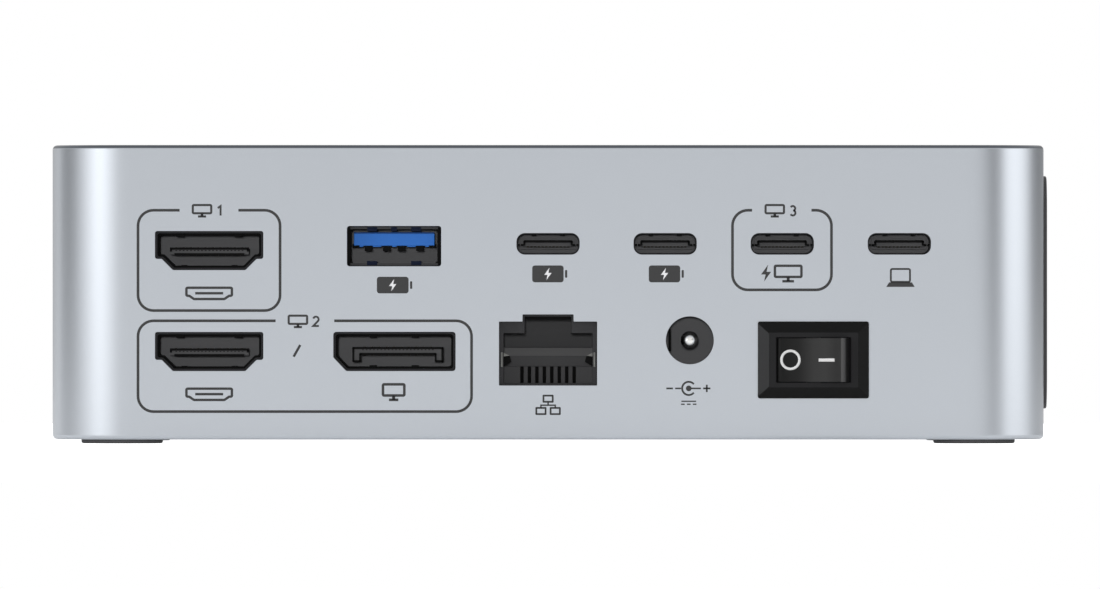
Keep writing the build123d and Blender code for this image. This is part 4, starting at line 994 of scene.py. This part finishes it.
# ---- Audio socket ----
# A round nose in the front panel on a moulded body, with three leaf contacts inside.
eased_copy("audio_socket_body", CORE, "socket_core", 0.08)
keep("audio_contacts", CONTACT_IN_PAINTED_SHADE)


# ---- Printed marks on the rear panel ----
# Pad-printed dark grey ink: three frames that group the video outputs, a digit at each,
# and small pictures of what each socket is for.
INK = dull("dark_grey_ink", (0.026, 0.026, 0.0265), 0.2, 0.7, 3000.0, 0.1)
PALE_INK = finish("pale_ink", (0.4, 0.4, 0.41), 0.6, 0.0, 3000.0, 0.1)
INK_LINE = 0.37
panel = rear(0.0, 0.0)
ink = bmesh.new()
pale = bmesh.new()


def ribbon(build, points, width, closed=False, lift=0.012):
    """A printed line of one width along points, with square ends and mitred turns."""
    count = len(points)
    left, right = [], []
    for index in range(count):
        here = Vector(points[index])
        before = points[index - 1] if index or closed else None
        after = points[(index + 1) % count] if index < count - 1 or closed else None
        ways = []
        if before is not None:
            ways.append((here - Vector(before)).normalized())
        if after is not None:
            ways.append((Vector(after) - here).normalized())
        normals = [Vector((-way.y, way.x)) for way in ways]
        across = sum(normals, Vector((0.0, 0.0))).normalized()
        shift = width / 2 / across.dot(normals[0])
        left.append(here + across * shift)
        right.append(here - across * shift)
    loops = []
    for side, depth in ((left, -lift), (right, -lift), (right, 0.004), (left, 0.004)):
        loops.append([build.verts.new(panel(p.x, p.y, depth)) for p in side])
    last = count if closed else count - 1
    for ring in range(4):
        a, b = loops[ring], loops[(ring + 1) % 4]
        for index in range(last):
            after = (index + 1) % count
            build.faces.new((a[index], a[after], b[after], b[index]))
    if not closed:
        build.faces.new([loop[0] for loop in loops])
        build.faces.new([loop[-1] for loop in loops][::-1])


def patch(build, points, lift=0.012):
    """A printed area."""
    prism(build, panel, points, -lift, 0.004)


def arc(x, z, radius, start, end, steps=10):
    """Points along part of a circle, its angles in degrees."""
    turns = [math.radians(start + (end - start) * step / steps) for step in range(steps + 1)]
    return [(x + radius * math.cos(a), z + radius * math.sin(a)) for a in turns]


def group_frame(left, right, low, high, gap_left, gap_right):
    """A rounded frame round a group of sockets, open at the top for its label."""
    r = 2.1
    points = [(gap_left, high)]
    points += arc(left + r, high - r, r, 90, 180)
    points += arc(left + r, low + r, r, 180, 270)
    points += arc(right - r, low + r, r, 270, 360)
    points += arc(right - r, high - r, r, 0, 90)
    points += [(gap_right, high)]
    ribbon(ink, points, INK_LINE)


def screen_mark(x, z, width, height, line=0.2):
    """A monitor on its stand."""
    outline = [(x + u, z + v + height * 0.14) for u, v in box_outline(width, height * 0.72, 0.15, 3)]
    ribbon(ink, outline, line, closed=True)
    base = z - height / 2
    ribbon(ink, [(x, z - height * 0.24), (x, base)], line * 1.2)
    ribbon(ink, [(x - width * 0.22, base), (x + width * 0.22, base)], line)


def bolt_mark(build, x, z, size):
    """A small lightning bolt."""
    shape = ((0.12, 0.5), (-0.3, -0.08), (-0.03, -0.08), (-0.12, -0.5), (0.3, 0.08), (0.03, 0.08))
    patch(build, [(x + u * size, z + v * size) for u, v in shape], 0.018)


def cell_mark(x, z, width, height):
    """A filled battery with a pale bolt in it: a socket that also charges."""
    body = [(x - width * 0.05 + u, z + v) for u, v in box_outline(width * 0.88, height, 0.35, 3)]
    patch(ink, body)
    patch(ink, [(x + width * 0.46 + u, z + v) for u, v in box_outline(0.3, height * 0.46, 0.1, 2)])
    bolt_mark(pale, x - width * 0.05, z, height * 0.72)


DIGITS = {
    1: [[(-0.36, 0.42), (0.08, 0.74), (0.08, -0.74)]],
    2: [arc(0.0, 0.32, 0.42, 165, -35, 10) + [(-0.42, -0.72), (0.46, -0.72)]],
    3: [arc(0.0, 0.36, 0.38, 150, -80, 9), arc(0.0, -0.33, 0.41, 80, -150, 9)],
}


def digit(value, x, z):
    """A printed number."""
    for stroke in DIGITS[value]:
        ribbon(ink, [(x + u * 0.87, z + v * 0.87) for u, v in stroke], 0.27)


group_frame(-55.68, -36.39, 18.07, 31.69, -50.03, -42.05)
group_frame(-55.68, -10.39, 4.35, 16.68, -37.0, -29.04)
group_frame(25.04, 38.48, 20.88, 31.69, 27.70, 35.76)
for x, z, value in ((-46.04, 31.62, 1), (-33.02, 16.6, 2), (31.73, 31.62, 3)):
    screen_mark(x - 0.95, z, 2.5, 1.55, 0.3)
    digit(value, x + 1.5, z)
for z in (20.4, 6.7):
    outline = [(VIDEO_X + u * 0.42, z + v * 0.29) for u, v in rounded(VIDEO_POINTS, 0.5, 3)]
    ribbon(ink, outline, 0.34, closed=True)
    ribbon(ink, [(VIDEO_X - 1.9, z + 0.02), (VIDEO_X + 1.9, z + 0.02)], 0.34)
screen_mark(-20.97, 7.0, 2.9, 2.1, 0.36)
cell_mark(-20.85, 21.53, 4.9, 2.26)
cell_mark(0.22, 23.05, 4.85, 2.3)
cell_mark(16.05, 23.05, 4.85, 2.3)
bolt_mark(ink, 29.6, 23.15, 2.3)
screen_mark(32.6, 23.1, 3.6, 2.1, 0.34)
ribbon(ink, [(-34.55, 11.8), (-33.65, 13.4)], 0.34)
ribbon(ink, [(47.84 + u, 22.84 + v) for u, v in box_outline(2.6, 1.75, 0.2, 3)], 0.26, closed=True)
patch(ink, [(46.3, 21.9), (49.4, 21.9), (49.78, 21.28), (45.92, 21.28)])
for x, z in ((-0.97, 4.43), (0.97, 4.43), (0.0, 6.1)):
    ribbon(ink, [(x + u, z + v) for u, v in box_outline(1.26, 0.84, 0.02, 2)], 0.25, closed=True)
ribbon(ink, [(-0.97, 4.86), (-0.97, 5.22), (0.97, 5.22), (0.97, 4.86)], 0.2)
ribbon(ink, [(0.0, 5.22), (0.0, 5.7)], 0.2)
ribbon(ink, arc(19.1, 7.5, 0.9, 40, 320, 20), 0.26)
patch(ink, [(19.1 + u, 7.5 + v) for u, v in circle_outline(0.78, 20)])
for left, right, width in (
    (16.05, 16.95, 0.24), (17.25, 18.05, 0.22), (19.45, 20.75, 0.22), (21.05, 22.05, 0.24),
):
    ribbon(ink, [(left, 7.5), (right, 7.5)], width)
ribbon(ink, [(21.55, 7.0), (21.55, 8.0)], 0.24)
ribbon(ink, [(18.1, 5.75), (20.1, 5.75)], 0.18)
for x in (18.3, 19.1, 19.9):
    ribbon(ink, [(x - 0.25, 5.35), (x + 0.25, 5.35)], 0.18)
settle(new_piece("panel_ink", ink, INK), "black_moulding")
settle(new_piece("panel_pale_ink", pale, PALE_INK), "white_moulding")


# ---- Floor, light and camera ----
# A pale backlit table in a white studio: a broad soft light above it, bright and dark
# screens round the object for its metal corners, and a long lens straight on.
TABLE = finish(
    "backlit_acrylic_table", (0.7, 0.7, 0.7), 0.9, 0.0, 300.0, 0.02, 0.0, 0.0,
    Emission_Color=(1.0, 1.0, 1.0, 1.0), Specular_IOR_Level=0.0,
)
glow = TABLE.node_tree.nodes.new("ShaderNodeMapRange")
direct = TABLE.node_tree.nodes.new("ShaderNodeLightPath")
glow.inputs["To Min"].default_value = 0.25
glow.inputs["To Max"].default_value = 1.0
surface = TABLE.node_tree.nodes["Principled BSDF"]
TABLE.node_tree.links.new(direct.outputs["Is Camera Ray"], glow.inputs["Value"])
TABLE.node_tree.links.new(glow.outputs["Result"], surface.inputs["Emission Strength"])
table = bmesh.new()
prism(table, lambda u, v, depth: (u, v, depth), box_outline(900.0, 900.0, 100.0, 8), 0.0, -2.0)
new_piece("table_top", table, TABLE)

world = bpy.data.worlds.new("studio")
bpy.context.scene.world = world
world.use_nodes = True
sky, wires = world.node_tree.nodes, world.node_tree.links
sky.clear()
way = sky.new("ShaderNodeTexCoord")
parts = sky.new("ShaderNodeSeparateXYZ")
wires.new(way.outputs["Generated"], parts.inputs[0])
turn = sky.new("ShaderNodeMath")
turn.operation = "ARCTAN2"
back = sky.new("ShaderNodeMath")
back.operation = "MULTIPLY"
back.inputs[1].default_value = -1.0
wires.new(parts.outputs["Y"], back.inputs[0])
wires.new(parts.outputs["X"], turn.inputs[0])
wires.new(back.outputs[0], turn.inputs[1])
share = scaled(sky, -math.pi, math.pi)
wires.new(turn.outputs[0], share.inputs["Value"])
# Light levels by direction: the degrees run round from behind the object, through its
# left side, the camera's side at 0 and its right side.
AROUND = (
    (-180, 0.5), (-150, 0.8), (-131, 0.95), (-118, 0.5), (-105, 0.36), (-93, 0.5), (-79, 1.05), (-66, 1.7),
    (-54, 2.5), (-44, 2.6), (-32, 1.8), (-20, 1.0), (-8, 1.0), (12, 1.0), (24, 0.95), (34, 0.62), (44, 0.1),
    (54, 0.6), (66, 2.0), (79, 2.05), (93, 1.85), (105, 1.2), (119, 0.42), (135, 0.3), (165, 0.45),
    (180, 0.5),
)
BRIGHTEST = 2.6
STUDIO_LEVEL = 2.45
UPWARD = ((0.0, 0.6), (0.30, 0.6), (0.44, 1.0), (0.67, 1.0), (0.87, 0.85), (0.97, 0.7), (1.0, 0.7))
around = tone_ramp(sky, [((degrees + 180) / 360, level / BRIGHTEST) for degrees, level in AROUND])
around.color_ramp.interpolation = "EASE"
wires.new(share.outputs["Result"], around.inputs[0])
height = scaled(sky, -1.0, 1.0)
wires.new(parts.outputs["Z"], height.inputs["Value"])
upward = tone_ramp(sky, UPWARD)
upward.color_ramp.interpolation = "EASE"
wires.new(height.outputs["Result"], upward.inputs[0])
level = sky.new("ShaderNodeMath")
level.operation = "MULTIPLY"
ease_out = scaled(sky, 0.12, 0.45)
wires.new(parts.outputs["Z"], ease_out.inputs["Value"])
even = sky.new("ShaderNodeMix")
even.inputs["B"].default_value = 1.0 / BRIGHTEST
wires.new(ease_out.outputs["Result"], even.inputs["Factor"])
wires.new(around.outputs["Color"], even.inputs["A"])
wires.new(even.outputs["Result"], level.inputs[0])
wires.new(upward.outputs["Color"], level.inputs[1])
strength = sky.new("ShaderNodeMath")
strength.operation = "MULTIPLY"
strength.inputs[1].default_value = STUDIO_LEVEL
wires.new(level.outputs[0], strength.inputs[0])
seen = sky.new("ShaderNodeLightPath")
lit = sky.new("ShaderNodeBackground")
white = sky.new("ShaderNodeBackground")
white.inputs["Color"].default_value = (1.0, 1.0, 1.0, 1.0)
wires.new(strength.outputs[0], lit.inputs["Strength"])
choice = sky.new("ShaderNodeMixShader")
wires.new(seen.outputs["Is Camera Ray"], choice.inputs["Fac"])
wires.new(lit.outputs[0], choice.inputs[1])
wires.new(white.outputs[0], choice.inputs[2])
output = sky.new("ShaderNodeOutputWorld")
wires.new(choice.outputs[0], output.inputs["Surface"])


def lamp(name, kind, energy, azimuth=0.0, tilt=0.0):
    """A lamp that metal does not mirror, turned by two angles in degrees."""
    light = bpy.data.lights.new(name, kind)
    light.energy = energy
    stand = placed(name, light)
    stand.rotation_euler = (math.radians(tilt), 0.0, math.radians(azimuth))
    stand.visible_glossy = False
    return stand


lamp("key_from_behind_camera", "SUN", 3.0, -0.6, 90 - 1.3).data.angle = math.radians(2.0)
lamp("soft_light_from_left", "SUN", 1.6, -62, 85).data.angle = math.radians(25.0)
top = lamp("broad_top_light", "AREA", 4.0)
top.data.size = 1.3
top.location = (0.0, 0.0, 0.9)
top.visible_camera = False

VIEW_WIDTH = 0.14936
DISTANCE = 3.2
camera = bpy.data.cameras.new("long_lens")
camera.sensor_width = 36.0
camera.lens = camera.sensor_width * DISTANCE / VIEW_WIDTH
camera.clip_start = 0.5
camera.clip_end = 50.0
camera_stand = placed("long_lens", camera)
camera_stand.location = (0.00026, -BODY_DEPTH / 2 * MM - DISTANCE, 0.02025)
camera_stand.rotation_euler = (math.radians(90), 0.0, 0.0)
bpy.context.scene.camera = camera_stand
bpy.context.scene.view_settings.view_transform = "Standard"
